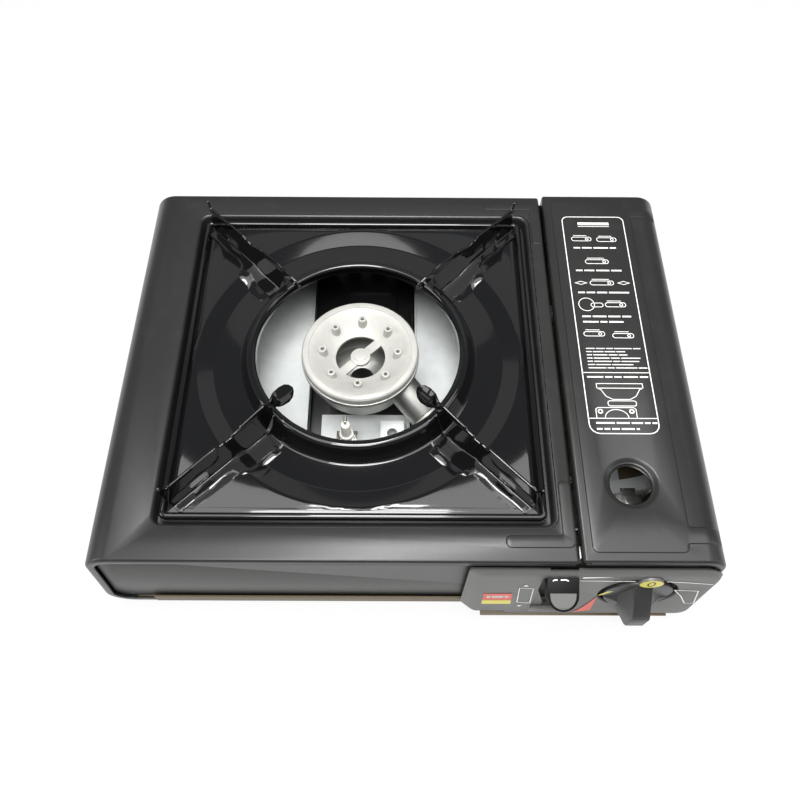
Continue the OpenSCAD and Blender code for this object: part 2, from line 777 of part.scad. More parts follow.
module electrode_bracket() {
    z = bridge_z + 2 * sheet;
    color([0.8, 0.8, 0.79]) placed() difference() {
        union() {
            block([-13, -48, z], [-1, -44, z + sheet]);
            block([-13, -45, z], [-1, -44, z + 17]);
            block([-13, -45, z + 16], [-1, -35.6, z + 17]);
        }
        rod_z(z + 12, z + 20, -7, -40, 3);
        block([-9, -50, z + 0.5], [-5, -43, z + 7]);
    }
}

module electrode_ceramic() {
    z = bridge_z + 2 * sheet;
    color([0.95, 0.94, 0.9]) placed() translate([-7, -40, 0]) difference() {
        rotate_extrude() polygon([[0, z + 6], [2.4, z + 6], [2.4, z + 13], [3, z + 14], [3, z + 21],
            [4, z + 21.5], [4, z + 23], [3, z + 23.5], [2.4, z + 34], [0, z + 34]]);
        cylinder(h = 200, r = 0.9);
    }
}

module electrode_pin() {
    z = bridge_z + 2 * sheet;
    color([0.7, 0.7, 0.7]) placed() {
        rod_z(z + 4, z + 37, -7, -40, 0.9);
        translate([-7, -40, z + 37]) sphere(0.9);
        rod_y(-40, -36.4, -7, z + 37, 0.9);
    }
}

module electrode_nut() {
    z = bridge_z + 2 * sheet + 17;
    color([0.82, 0.82, 0.8]) placed() difference() {
        translate([-7, -40, z]) cylinder(h = 3, r = 5.2, $fn = 6);
        rod_z(z - 1, z + 4, -7, -40, 3);
    }
}

// a rod between two places
module rod(a, b, r) {
    way = b - a;
    translate(a) rotate([0, acos(way.z / norm(way)), atan2(way.y, way.x)]) cylinder(h = norm(way), r = r);
}

module ignition_lead() {
    last = len(lead_route) - 1;
    color([0.93, 0.92, 0.88]) placed() {
        for (i = [0:last - 1]) rod(lead_route[i], lead_route[i + 1], lead_r);
        for (i = [1:last - 1]) translate(lead_route[i]) sphere(1.1 * lead_r);
    }
}

module cartridge_cradle() {
    x0 = bay_x + 3;
    x1 = side_x - 8;
    half = 12;
    color([0.7, 0.71, 0.7]) placed() difference() {
        union() {
            for (y = saddles) block([x0, y, floor_z], [x1, y + saddle_t, floor_z + 12]);
            block([can_x - half, saddles[0], floor_z], [can_x + half, saddles[1] + saddle_t, floor_z + 1.4]);
        }
        rod_y(saddles[0] - 10, saddles[1] + saddle_t + 10, can_x, can_z, cartridge_d / 2 + 0.5);
    }
}

module lid_catch() {
    x0 = seam_x + seam_gap / 2 - 0.4;
    y0 = front_panel_y + sheet;
    color([0.82, 0.82, 0.8]) placed() {
        block([x0, y0, top_h - 14], [x0 + 0.8, y0 + 6, top_h - 1]);
        block([bay_x, y0, top_h - 14], [x0 + 0.8, y0 + 6, top_h - 13]);
    }
}

module lid_hinge_pins() {
    color([0.8, 0.8, 0.79]) placed() {
        rod_y(front_y, front_panel_y + sheet + 0.1, hinge.x, hinge.y, hinge_pin_r);
        rod_y(front_panel_y + sheet, front_panel_y + sheet + 1.3, hinge.x, hinge.y, 2.5);
        rod_y(rear_panel_y - 0.1, back_y, hinge.x, hinge.y, hinge_pin_r);
        rod_y(rear_panel_y - 1.3, rear_panel_y, hinge.x, hinge.y, 2.5);
    }
}

// ---------------------------------------------------------------- control housing

// where the housing's leaning face is, at a height
function face_y(z) = housing_front + face_lean * (z - face_low) / (face_high - face_low);

// the housing as a solid block, drawn in by an inset
module housing_block(inset) {
    f = housing_front;
    profile = [[housing_back, floor_z], [housing_back, top_h - 6.5], [f + face_lean + 0.6, face_high + 1.4],
               [f + face_lean, face_high], [f, face_low], [f + 0.5, floor_z + 1.2], [f + 1.8, floor_z]];
    difference() {
        along_x(housing_x0 + inset, housing_x1 - housing_x0 - 2 * inset)
            translate([inset, -inset]) polygon(profile);
        translate([housing_x0 + inset, housing_back, -10]) linear_extrude(200)
            polygon([[-1, 1.2], [7.4, -7.2], [7.4, -20], [-10, -20], [-10, 1.2]]);
        translate([housing_x1 - inset, housing_back, -10]) linear_extrude(200)
            polygon([[0.2, -3], [-2.6, -12], [5, -12], [5, -3]]);
        along_y(housing_front - 1, housing_depth + 1) {
            translate([housing_x1 - end_r, top_h - 6.5 - end_r]) difference() {
                square(end_r + 5);
                circle(end_r - inset);
            }
            translate([housing_x1 - 0.7 * end_r, floor_z + 0.7 * end_r]) difference() {
                translate([0, -end_r - 5]) square(end_r + 5);
                circle(0.7 * end_r - inset);
            }
        }
    }
}

module control_housing() {
    slot_w = tongue_w + 4.4;
    slot_low = tongue_top - tongue_h - lever_travel - 3;
    color([0.45, 0.45, 0.44]) placed() difference() {
        union() {
            difference() {
                housing_block(0);
                housing_block(housing_wall);
            }
            intersection() {
                housing_block(0);
                rod_y(housing_front - 5, housing_back, knob_x, knob_z, pocket_r + housing_wall);
            }
            for (p = [[70, 60], [70, 22], [side_x - 8, 22]])
                rod_y(face_y(p.y) + 1, front_panel_y, p.x, p.y, 3);
        }
        rod_y(housing_front - 5, disc_y + disc_t + 0.6, knob_x, knob_z, pocket_r);
        rod_y(housing_front - 5, housing_front + 10, knob_x, knob_z, spindle_r + 0.6);
        block([lever_x - slot_w / 2, housing_front - 5, slot_low], [lever_x + slot_w / 2, front_y, slot_top]);
        block([lever_x - 7, housing_back - 0.8, top_h - 15], [lever_x + 7, housing_back + 1, top_h]);
        block([housing_x0 + 13, housing_front - 1, floor_z - 1], [housing_x0 + 25, housing_front + 3, floor_z + 5.5]);
    }
}

// ---------------------------------------------------------------- moving pieces

module cartridge_lid() {
    dish_r0 = window_r + 3.1;
    field_x0 = lid_x + 4.6;
    field_x1 = lid_shoulder.x - 6.8;
    tabs = [[front_y + 10.7, 7.5], [back_y - 18.6, 5.5]];
    color([0.25, 0.25, 0.24]) placed() difference() {
        union() {
            along_y(front_y, depth) lid_strip(0, sheet);
            along_y(front_y, sheet) lid_strip(0, edge_flange);
            along_y(back_y - sheet, sheet) lid_strip(0, edge_flange);
            for (y = [front_y, back_y - sheet]) along_y(y, sheet) translate(hinge) circle(ear_r);
            block([lid_x, front_y, top_h - seam_lip], [lid_x + sheet, back_y, lid_top]);
            translate([0, 0, lid_top - e]) linear_extrude(field_h + e)
                slab2d([field_x0, front_y + 5.7], [field_x1, back_y - 4.1], 3);
            for (tab = tabs) intersection() {
                along_y(tab[0], tab[1]) lid_strip(-field_h, sheet);
                translate([field_x1 - 4, -200, lid_shoulder.y]) cube([60, 400, 60]);
            }
            translate([window.x, window.y, lid_top - 2.6]) cylinder(h = 2.6, r = dish_r0 + 1);
        }
        translate([window.x, window.y, lid_top - 1.6]) cylinder(h = 1.7, r1 = window_r + 1.4, r2 = dish_r0);
        translate([window.x, window.y, lid_top]) cylinder(h = 5, r = dish_r0);
        translate([window.x, window.y, lid_top - 5]) cylinder(h = 10, r = window_r);
        for (y = [front_y + sheet, back_y - sheet - notch_y])
            block([hinge.x - 8, y, lid_foot_z - 5], [right_reach + 2, y + notch_y, notch_z]);
        rod_y(front_y - 1, back_y + 1, hinge.x, hinge.y, hinge_pin_r + running);
    }
}

module drip_pan() {
    rim_z = top_h - rim_depth;
    flat_z = top_h - flat_depth;
    chan_z = top_h - channel_depth;
    crest_z = top_h + collar_h;
    h = pan_half;
    color([0.05, 0.05, 0.05]) placed() translate([pan_c.x, pan_c.y, 0]) {
        difference() {
            union() {
                translate([0, 0, top_h - ledge_depth]) linear_extrude(ledge_depth - rim_depth - 0.5)
                    slab2d([-h, -h], [h, h], pan_r);
                translate([0, 0, rim_z - 0.5]) linear_extrude(0.5)
                    slab2d([-h + 0.6, -h + 0.6], [h - 0.6, h - 0.6], pan_r);
            }
            translate([0, 0, top_h - ledge_depth - 1]) linear_extrude(ledge_depth - rim_depth)
                slab2d([-h + 1, -h + 1], [h - 1, h - 1], pan_r);
            translate([0, 0, top_h - 20]) linear_extrude(40)
                slab2d([-h + 3, -h + 3], [h - 3, h - 3], pan_r);
        }
        difference() {
            translate([0, 0, flat_z - 1]) linear_extrude(rim_z - flat_z + 1)
                slab2d([-h + 2.4, -h + 2.4], [h - 2.4, h - 2.4], pan_r);
            translate([0, 0, flat_z]) linear_extrude(20)
                slab2d([-h + 3.6, -h + 3.6], [h - 3.6, h - 3.6], pan_r);
            translate([0, 0, top_h - 30]) cylinder(h = 60, r = dish_r, $fn = 96);
        }
        rotate_extrude($fn = 96) polygon([[dish_r + 0.6, flat_z], [dish_r, flat_z], [dish_r - 1.6, flat_z - 0.3],
            [channel_out_r + 1, chan_z + 0.3], [channel_out_r - 1, chan_z], [channel_in_r, chan_z],
            [channel_in_r - 1.6, chan_z + 0.4], [channel_in_r - 3, chan_z + 1.6], [flame_r + 4.2, crest_z - 2.5],
            [flame_r + 3.2, crest_z - 0.9], [flame_r + 2.3, crest_z - 0.2],
            [flame_r + 1.4, crest_z], [flame_r + 0.6, crest_z - 0.3], [flame_r, crest_z - 1.1],
            [flame_r, crest_z - 5], [flame_r + 1, crest_z - 5], [flame_r + 1.1, crest_z - 1.5],
            [flame_r + 1.6, crest_z - 1.2], [flame_r + 2.3, crest_z - 1.6], [flame_r + 3.2, crest_z - 3],
            [channel_in_r - 4, chan_z + 1.2], [channel_in_r - 2.1, chan_z - 0.5],
            [channel_in_r - 0.5, chan_z - 1], [channel_out_r - 0.8, chan_z - 1],
            [channel_out_r + 1.2, chan_z - 0.7], [dish_r - 1.6, flat_z - 1.3], [dish_r + 0.6, flat_z - 1]]);
    }
}

// the pan's top from the ring channel to its flat corners, raised by a height
function pan_bed(up) = [[channel_in_r, up - channel_depth], [channel_out_r - 1, up - channel_depth],
    [channel_out_r + 1, up - channel_depth + 0.3], [dish_r - 1.6, up - flat_depth - 0.3], [dish_r, up - flat_depth]];

// one L-shaped pan support at an angle, with its foot on one side of the blade
module pan_arm(angle, side) {
    flat_z = -flat_depth;
    foot_out = arm_out_r - 1.6;
    foot_in = channel_in_r + 1.5;
    neck = flame_r + 2;
    tip = arm_in_r;
    // a place along the blade, from 0 at its inner end to 1 at its outer end
    function at(share) = arm_in_r + share * (arm_out_r - arm_in_r);
    blade = [[tip, cook_h - 5], [tip + 0.8, cook_h - 7.6], [tip + 2.8, cook_h - 9.8], [tip + 5.6, cook_h - 10.8],
             [neck - 4, cook_h - 10.2], [neck - 1.6, cook_h - 9], [neck, cook_h - 8], [neck + 1.2, cook_h - 10],
             [neck + 1.6, collar_h + 3], [neck + 3, collar_h + 1], [foot_in, 1.5 - channel_depth],
             [foot_in, -12], [foot_out, -12], [foot_out, 2], [arm_out_r - 0.6, 9.6], [arm_out_r, cook_h],
             [arm_out_r - 1.3, cook_h], [arm_out_r - 3.4, cook_h - 4.3], [arm_out_r - 5, cook_h - 3.8],
             [at(0.598), cook_h - 3], [at(0.574), cook_h - 4.6], [at(0.544), cook_h - 4.4],
             [at(0.528), cook_h - 5.4], [at(0.481), cook_h - 5.2], [at(0.47), cook_h - 3.8],
             [at(0.412), cook_h - 3.2], [at(0.4), cook_h - 2.2], [at(0.342), cook_h - 1.6],
             [at(0.226), cook_h - 0.2], [neck + 1.4, cook_h - 1.2], [neck - 2, cook_h - 0.4],
             [tip + 6.4, cook_h], [tip + 3, cook_h - 0.8], [tip + 0.9, cook_h - 2.6]];
    color([0.04, 0.04, 0.04]) placed() translate([pan_c.x, pan_c.y, top_h]) rotate(angle) {
        difference() {
            translate([0, arm_t / 2, 0]) rotate([90, 0, 0]) linear_extrude(arm_t) difference() {
                polygon(blade);
                polygon([[at(0.705), flat_z + 2.2], [at(0.836), flat_z + 2.2], [at(0.836), 3.6],
                         [at(0.818), 5.2], [at(0.722), 5.2], [at(0.705), 3.6]]);
            }
            rotate_extrude($fn = 96) polygon(concat([[foot_in - 2, -30], [foot_in - 2, -channel_depth]], pan_bed(0),
                [[arm_out_r + 5, flat_z], [arm_out_r + 5, -30]]));
        }
        intersection() {
            rotate_extrude($fn = 96) polygon(concat(pan_bed(0), [[foot_out, flat_z], [foot_out, flat_z + 1],
                [dish_r, flat_z + 1], [dish_r - 1.6, flat_z + 0.7], [channel_out_r + 1, 1.3 - channel_depth],
                [channel_out_r - 1, 1 - channel_depth], [channel_in_r, 1 - channel_depth]]));
            union() {
                translate([foot_in, side > 0 ? 0 : -arm_foot_w, -20]) cube([dish_r + 2 - foot_in, arm_foot_w, 40]);
                translate([dish_r - 3, side > 0 ? 0 : -4, -20]) cube([foot_out - dish_r + 2, 4, 40]);
            }
        }
    }
}

module pan_arm_front_left() {
    pan_arm(225, 1);
}

module pan_arm_front_right() {
    pan_arm(315, -1);
}

module pan_arm_back_left() {
    pan_arm(135, 1);
}

module pan_arm_back_right() {
    pan_arm(45, -1);
}

module knob() {
    r = pocket_r - knob_gap;
    top_z = knob_z + r - 5.5;
    grip = [[disc_y + 1, top_z], [disc_y - 0.6, top_z - 0.6], [-knob_reach + 1, knob_z + 0.6],
            [-knob_reach, knob_z - 1.4], [-knob_reach, knob_z - r + 4], [-knob_reach + 1.4, knob_z - r + 1.4],
            [-knob_reach + 3.6, knob_z - r + 0.4], [disc_y + 1, knob_z - r + 0.4]];
    scoop_r = 15;
    fall = atan2(disc_y + knob_reach - 1.6, top_z - knob_z - 1.2);
    color([0.22, 0.22, 0.22]) placed() difference() {
        union() {
            rod_y(disc_y, disc_y + disc_t, knob_x, knob_z, r);
            intersection() {
                along_x(knob_x - r, 2 * r) polygon(grip);
                rod_y(-knob_reach - 5, disc_y + 1, knob_x, knob_z, r);
                difference() {
                    block([knob_x - r, -knob_reach - 1, 0], [knob_x + r, disc_y + 1, 100]);
                    for (side = [-1, 1]) translate([knob_x + side * (grip_w / 2 + scoop_r), -knob_reach, 0]) {
                        translate([0, -1.4, -1]) cylinder(h = 200, r = scoop_r);
                        translate([0, 0, knob_z + 1.6]) rotate([-fall, 0, 0]) cylinder(h = 90, r = scoop_r, center = true);
                    }
                }
            }
            rod_y(disc_y, disc_y + disc_t + 0.2, knob_x, knob_z, 7);
        }
        rod_y(socket_y, disc_y + disc_t + 1, knob_x, knob_z, spindle_r);
    }
}

module knob_spindle() {
    color([0.75, 0.75, 0.74]) placed() rod_y(socket_y, reg_front_y + 8.5, knob_x, knob_z, spindle_r);
}

// a cam whose radius grows evenly over the knob's turn, and falls back after it
module ignition_cam() {
    rise = plunger_travel;
    y0 = front_panel_y + sheet + 1.2;
    function radius(turn) = turn < 0 ? cam_r : turn <= knob_turn ? cam_r + rise * turn / knob_turn
        : turn <= knob_turn + 20 ? cam_r + rise : cam_r + rise * (1 - min(1, (turn - knob_turn - 20) / 90));
    color([0.3, 0.3, 0.3]) placed() difference() {
        along_y(y0, cam_t) translate([knob_x, knob_z])
            polygon([for (a = [-40:5:315]) radius(a) * [cos(180 - a), sin(180 - a)]]);
        rod_y(y0 - 1, y0 + cam_t + 1, knob_x, knob_z, spindle_r);
    }
}

module piezo_plunger() {
    tip = knob_x - cam_r - cam_gap;
    y = front_panel_y + sheet + 1.2 + cam_t / 2;
    color([0.8, 0.8, 0.78]) placed() {
        rod_x(tip - plunger_r - 16, tip - plunger_r, y, knob_z, plunger_r);
        translate([tip - plunger_r, y, knob_z]) sphere(plunger_r);
    }
}

// the lever's tongue, drawn in by an inset: it slopes down to its round end at the front
module tongue(inset, reach) {
    level = slot_top - 0.8;
    end_y = housing_front - tongue_out + tongue_w / 2 * cos(tongue_fall);
    end_z = level - (housing_back - 3.2 - end_y) * tan(tongue_fall);
    intersection() {
        translate([lever_x, end_y, end_z]) rotate([tongue_fall, 0, 0]) translate([0, 0, -tongue_depth - inset])
            linear_extrude(tongue_depth) {
                circle(tongue_w / 2 - inset);
                translate([inset - tongue_w / 2, 0]) square([tongue_w - 2 * inset, 40]);
            }
        block([lever_x - 20, end_y - 40, 0], [lever_x + 20, reach, level - inset]);
    }
}

// the lever's tongue, hollow from below, its guide plate behind the housing and its slotted tail
module lock_lever() {
    tail_t = 2;
    slot_r = link_pin_r + running;
    plate_y = housing_back + 0.3;
    plate_w = tongue_w + 6.4;
    color([0.3, 0.3, 0.3]) placed() difference() {
        union() {
            difference() {
                tongue(0, plate_y);
                tongue(1.6, plate_y + 20);
            }
            translate([lever_x - plate_w / 2, plate_y, tongue_top - 30]) cube([plate_w, 1.4, 33]);
            block([lever_x - tail_t / 2, plate_y, pin_z - 5], [lever_x + tail_t / 2, pin_y + 4, pin_z + lever_travel + 4]);
        }
        along_x(lever_x - tail_t, 2 * tail_t) {
            translate([pin_y, pin_z]) circle(slot_r);
            translate([pin_y - fork_travel, pin_z + lever_travel]) circle(slot_r);
            translate([pin_y, pin_z]) rotate(slope) translate([0, -slot_r])
                square([norm([lever_travel, fork_travel]), 2 * slot_r]);
        }
    }
}

// the fork behind the cartridge's collar, with the arm and pins that draw it forward
module lock_fork() {
    arm_x = bay_x + free_gap;
    color([0.78, 0.78, 0.76]) placed() difference() {
        union() {
            block([arm_x, fork_y, can_z - 20], [can_x + 24, fork_y + 1.5, can_z + 14]);
            block([arm_x, pin_y - 4, pin_z - 4], [arm_x + 1.5, fork_y + 1.5, pin_z + 5]);
            rod_x(lever_x - 2, arm_x + 0.5, pin_y, pin_z, link_pin_r);
            rod_x(partition_x - 1, arm_x + 0.5, guide_y, pin_z, link_pin_r);
        }
        rod_y(fork_y - 1, fork_y + 3, can_x, can_z, 17);
        block([can_x - 17, fork_y - 1, can_z], [can_x + 17, fork_y + 3, can_z + 30]);
    }
}

// ---------------------------------------------------------------- the nodes

base_pan();
rubber_feet();
body_cover();
front_panel();
rear_panel();
side_panel();
bay_partition();
control_housing();
lid_catch();
lid_hinge_pins();
cartridge_cradle();
burner_bridge();
heat_shield_left();
heat_shield_right();
burner_plate();
burner_body();
burner_cap();
mixing_tube();
jet_nozzle();
gas_pipe();
regulator_body();
regulator_bonnet();
regulator_screws();
gas_seal();
locating_plate();
locating_screw();
piezo_housing();
electrode_bracket();
electrode_ceramic();
electrode_pin();
electrode_nut();
ignition_lead();
cartridge_lid();
drip_pan();
pan_arm_front_left();
pan_arm_front_right();
pan_arm_back_left();
pan_arm_back_right();
knob();
knob_spindle();
ignition_cam();
lock_lever();
lock_fork();
piezo_plunger();
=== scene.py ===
import json
import math
from functools import cache

import bmesh
import bpy
import numpy as np
from mathutils import Matrix, Vector, geometry

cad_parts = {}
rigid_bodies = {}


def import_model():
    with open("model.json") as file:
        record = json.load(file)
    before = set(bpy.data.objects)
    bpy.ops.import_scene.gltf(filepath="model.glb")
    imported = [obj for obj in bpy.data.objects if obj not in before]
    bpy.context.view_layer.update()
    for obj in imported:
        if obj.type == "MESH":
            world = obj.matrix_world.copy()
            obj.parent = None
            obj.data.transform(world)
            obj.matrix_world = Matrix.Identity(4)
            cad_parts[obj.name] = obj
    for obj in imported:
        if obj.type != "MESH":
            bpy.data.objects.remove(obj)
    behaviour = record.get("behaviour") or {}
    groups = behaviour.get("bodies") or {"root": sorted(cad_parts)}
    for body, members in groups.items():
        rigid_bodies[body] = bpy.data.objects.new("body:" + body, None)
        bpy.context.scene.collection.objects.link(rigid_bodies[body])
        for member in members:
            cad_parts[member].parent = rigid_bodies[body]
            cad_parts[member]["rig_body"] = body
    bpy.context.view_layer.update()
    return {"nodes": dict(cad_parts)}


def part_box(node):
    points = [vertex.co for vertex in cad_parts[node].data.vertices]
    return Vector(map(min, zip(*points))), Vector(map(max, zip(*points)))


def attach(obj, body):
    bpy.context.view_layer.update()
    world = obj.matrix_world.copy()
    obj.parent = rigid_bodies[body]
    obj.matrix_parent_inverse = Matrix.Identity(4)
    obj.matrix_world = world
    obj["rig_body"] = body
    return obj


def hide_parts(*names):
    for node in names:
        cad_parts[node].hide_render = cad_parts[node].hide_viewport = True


bl_info = {
    "name": "Portable stove finish",
    "version": (1, 0, 0),
    "blender": (4, 5, 0),
    "location": "3D View > Sidebar > Stove",
    "description": "Dresses the packed model of a portable gas stove, and lights it",
    "category": "Object",
}

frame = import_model()

# ---------------------------------------------------------- places and sizes, in millimetres

MM = 0.001
# how far the burner cap's middle lies from the middle of the pan opening
CAP_OFFSET = Vector((0.6, 0.5, 0.0))


def middle(node):
    """The middle of a CAD node, in millimetres, in the frame."""
    low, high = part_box(node)
    return (low + high) / 2 / MM


# the middle of the pan opening: places below are measured from it, with heights from the table
OPENING = middle("burner_cap") - CAP_OFFSET
OPENING.z = 0.0


def extent(node):
    """The lowest and highest corner of a CAD node, in millimetres from the opening's middle."""
    low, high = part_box(node)
    return low / MM - OPENING, high / MM - OPENING


cover_low, cover_high = extent("body_cover")
lid_low, _ = extent("cartridge_lid")
pan_low, pan_high = extent("drip_pan")
housing_low, housing_high = extent("control_housing")
knob_low, knob_high = extent("knob")
lever_low, lever_high = extent("lock_lever")

# the body: its sheet, the top of the cover, its front, its back and the seam beside the lid
SHEET = 1.0
HALF_SHEET = SHEET / 2
TOP = extent("bay_partition")[1].z + SHEET
FRONT = cover_low.y
BACK = cover_high.y
SEAM = cover_high.x
OPENING_W = 204.0
EDGE_ROLL = 1.3
ROLL_LENGTH = EDGE_ROLL * math.pi / 2
FLANGE = 4.0

# the two bends of the cover's left side, and of the lid's right side: their middles, in x and z
COVER_BEND_R = 14
SHOULDER = Vector((-121.5, TOP - COVER_BEND_R))
HEEL = Vector((-127.5, 21))
LID_TOP = TOP + 1.5
LID_BEND_R = 13
LID_SHOULDER = Vector((175, LID_TOP - LID_BEND_R))
LID_HEEL = Vector((178.5, lid_low.z + 1.5))
HINGE = Vector((188, 49.5))

# the knob's middle and its pocket, the lid's window, and the pan
KNOB_X = (knob_low.x + knob_high.x) / 2
KNOB_Z = (knob_low.z + knob_high.z) / 2
POCKET_R = 21.5
WINDOW = Vector((143.55, -79.5))
WINDOW_R = 11.4
PAN = Vector(((pan_low.x + pan_high.x) / 2, (pan_low.y + pan_high.y) / 2, 0))
PAN_HALF = (pan_high.x - pan_low.x) / 2


def placed(point):
    """A point measured from the opening's middle in millimetres, as one of the frame in metres."""
    return (Vector(point) + OPENING) * MM


# ---------------------------------------------------------- flat outlines


def rounded(x0, y0, x1, y1, radius):
    """The corners of a rectangle, each with its radius, counterclockwise."""
    return [(x0, y0, radius), (x1, y0, radius), (x1, y1, radius), (x0, y1, radius)]


def outline(corners, grow=0.0, steps=6):
    """The closed line through corners (x, y, radius), moved outwards by grow."""
    line = []
    befores, afters = corners[-1:] + corners[:-1], corners[1:] + corners[:1]
    for before, corner, after in zip(befores, corners, afters):
        at = Vector(corner[:2])
        coming = (at - Vector(before[:2])).normalized()
        going = (Vector(after[:2]) - at).normalized()
        turn = math.atan2(coming.x * going.y - coming.y * going.x, coming.dot(going))
        out = Vector((coming.y, -coming.x))
        out_after = Vector((going.y, -going.x))
        at = at + (out + out_after) * grow / (1 + out.dot(out_after))
        side = 1 if turn > 0 else -1
        radius = max(corner[2] + side * grow, 0.02)
        start = at - coming * radius * math.tan(abs(turn) / 2)
        centre = start - side * out * radius
        for step in range(steps + 1):
            line.append(centre + Matrix.Rotation(turn * step / steps, 2) @ (start - centre))
    return line


def oval(x, y, across, up, count=32):
    """The closed line round an ellipse, counterclockwise from its right."""
    angles = [math.tau * i / count for i in range(count)]
    return [Vector((x + across * math.cos(a), y + up * math.sin(a))) for a in angles]


def circle(x, y, radius, count=64):
    """The closed line round a circle."""
    return oval(x, y, radius, radius, count)


def fold(corners, side=1, step=8.0):
    """Samples of an open line with rounded corners: point, outward normal and distance along it."""
    points = []
    normals = []
    last = len(corners) - 1
    for i, corner in enumerate(corners):
        at = Vector(corner[:2])
        if i in (0, last):
            other = Vector(corners[1 if i == 0 else last - 1][:2])
            way = (other - at if i == 0 else at - other).normalized()
            points.append(at)
            normals.append(Vector((way.y, -way.x)) * side)
            continue
        coming = (at - Vector(corners[i - 1][:2])).normalized()
        going = (Vector(corners[i + 1][:2]) - at).normalized()
        turn = math.atan2(coming.x * going.y - coming.y * going.x, coming.dot(going))
        hand = 1 if turn > 0 else -1
        radius = corner[2]
        out = Vector((coming.y, -coming.x))
        start = at - coming * radius * math.tan(abs(turn) / 2)
        centre = start - hand * out * radius
        count = max(2, math.ceil(math.degrees(abs(turn)) / step))
        for k in range(count + 1):
            turned = Matrix.Rotation(turn * k / count, 2)
            points.append(centre + turned @ (start - centre))
            normals.append((turned @ out) * side)
    along = [0.0]
    for a, b in zip(points, points[1:]):
        along.append(along[-1] + (b - a).length)
    return points, normals, along


# ---------------------------------------------------------- sheet metal drawn flat, then folded


def side_of(points, line):
    """For each point, its distance from a closed line, below 0 inside."""
    p = np.array(points, float)
    a = np.array([tuple(q) for q in line], float)
    b = np.roll(a, -1, axis=0)
    ab = b - a
    ap = p[:, None, :] - a[None]
    t = np.clip((ap * ab).sum(2) / np.maximum((ab * ab).sum(1), 1e-12), 0, 1)
    distance = np.linalg.norm(ap - t[..., None] * ab[None], axis=2).min(1)
    above = (a[None, :, 1] > p[:, None, 1]) != (b[None, :, 1] > p[:, None, 1])
    rise = np.where(np.abs(ab[:, 1]) < 1e-12, 1e-12, ab[:, 1])
    crossing = a[None, :, 0] + (p[:, None, 1] - a[None, :, 1]) * ab[None, :, 0] / rise
    inside = (above & (p[:, None, 0] < crossing)).sum(1) % 2 == 1
    return np.where(inside, -distance, distance)


class Blank:
    """A sheet drawn flat in u and v, with holes and raised figures, that is then folded."""

    def __init__(self, low, high):
        self.low, self.high = low, high
        corners = (low, (high[0], low[1]), high, (low[0], high[1]))
        self.loops = [[Vector(p) for p in corners]]
        self.lines = []
        self.holes = []
        self.bounds = []
        self.figures = []

    def crease(self, u=None, v=None):
        """A line across the blank, where it can bend."""
        if v is None:
            self.lines.append((Vector((u, self.low[1])), Vector((u, self.high[1]))))
        else:
            self.lines.append((Vector((self.low[0], v)), Vector((self.high[0], v))))

    def hole(self, line):
        """Cuts away what is inside a line."""
        self.loops.append(line)
        self.holes.append(line)

    def cut_to(self, line):
        """Keeps only what is inside a line."""
        self.loops.append(line)
        self.bounds.append(line)

    def figure(self, corners, rings):
        """Raises what the corners enclose, by rings of (distance outside the line, height)."""
        for grow, _ in rings:
            self.loops.append(outline(corners, grow))
        self.figures.append((outline(corners, 0.0, 10), sorted(rings)))

    def folded(self, bend):
        """The sheet with each of its points put in place by bend(u, v, height)."""
        points = []
        edges = []
        for loop in self.loops:
            start = len(points)
            points += [Vector(p) for p in loop]
            edges += [(start + i, start + (i + 1) % len(loop)) for i in range(len(loop))]
        for a, b in self.lines:
            edges.append((len(points), len(points) + 1))
            points += [a, b]
        flat, _, faces, *_ = geometry.delaunay_2d_cdt(points, edges, [], 0, 1e-5)
        spots = np.array([tuple(p) for p in flat], float)
        height = np.zeros(len(spots))
        for line, rings in self.figures:
            height += np.interp(side_of(spots, line), [r[0] for r in rings], [r[1] for r in rings])
        centres = np.array([spots[list(f)].mean(0) for f in faces])
        keep = np.ones(len(faces), bool)
        for hole in self.holes:
            keep &= side_of(centres, hole) > 0
        for line in self.bounds:
            keep &= side_of(centres, line) < 0
        made = Mesh()
        made.points = [bend(p[0], p[1], h) for p, h in zip(spots, height)]
        made.faces = [tuple(f) for f, k in zip(faces, keep) if k]
        return made


class Mesh:
    """Points in millimetres from the opening's middle, and the faces between them."""

    def __init__(self):
        self.points = []
        self.faces = []

    def add(self, loop):
        """Takes in points, and gives their numbers."""
        start = len(self.points)
        self.points += [Vector(p) for p in loop]
        return list(range(start, len(self.points)))

    def skin(self, *loops, closed=True):
        """Faces between loops of as many points each."""
        rows = [self.add(loop) for loop in loops]
        for a, b in zip(rows, rows[1:]):
            for i in range(len(a) if closed else len(a) - 1):
                j = (i + 1) % len(a)
                self.faces.append((a[i], a[j], b[j], b[i]))

    def fill(self, *loops):
        """The flat area inside the first loop and outside the others."""
        loops = [[Vector(p) for p in loop] for loop in loops]
        index = self.add([p for loop in loops for p in loop])
        for triangle in geometry.tessellate_polygon(loops):
            self.faces.append(tuple(index[i] for i in triangle))

    def lathe(self, profile, centre, count=96, axis="z"):
        """Turns a profile of (radius, height) about an upright axis, or one along y."""
        loops = []
        for radius, height in profile:
            ring = circle(0, 0, radius, count)
            if axis == "z":
                loops.append([(centre[0] + p.x, centre[1] + p.y, height) for p in ring])
            else:
                loops.append([(centre[0] + p.x, height, centre[1] + p.y) for p in ring])
        self.skin(*loops)
        return loops

    def raw(self, name):
        """The mesh as an object of the scene, as it is."""
        mesh = bpy.data.meshes.new(name)
        mesh.from_pydata([placed(p) for p in self.points], [], self.faces)
        return linked(name, mesh)

    def object(self, name, body, thick=0.0, bevel=0.0, sharp=30.0):
        """The finished piece, welded, with its thickness and edges, riding on its body."""
        piece = self.raw(name)
        weld(piece.data)
        settle(piece, thick, bevel, sharp)
        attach(piece, body)
        return piece


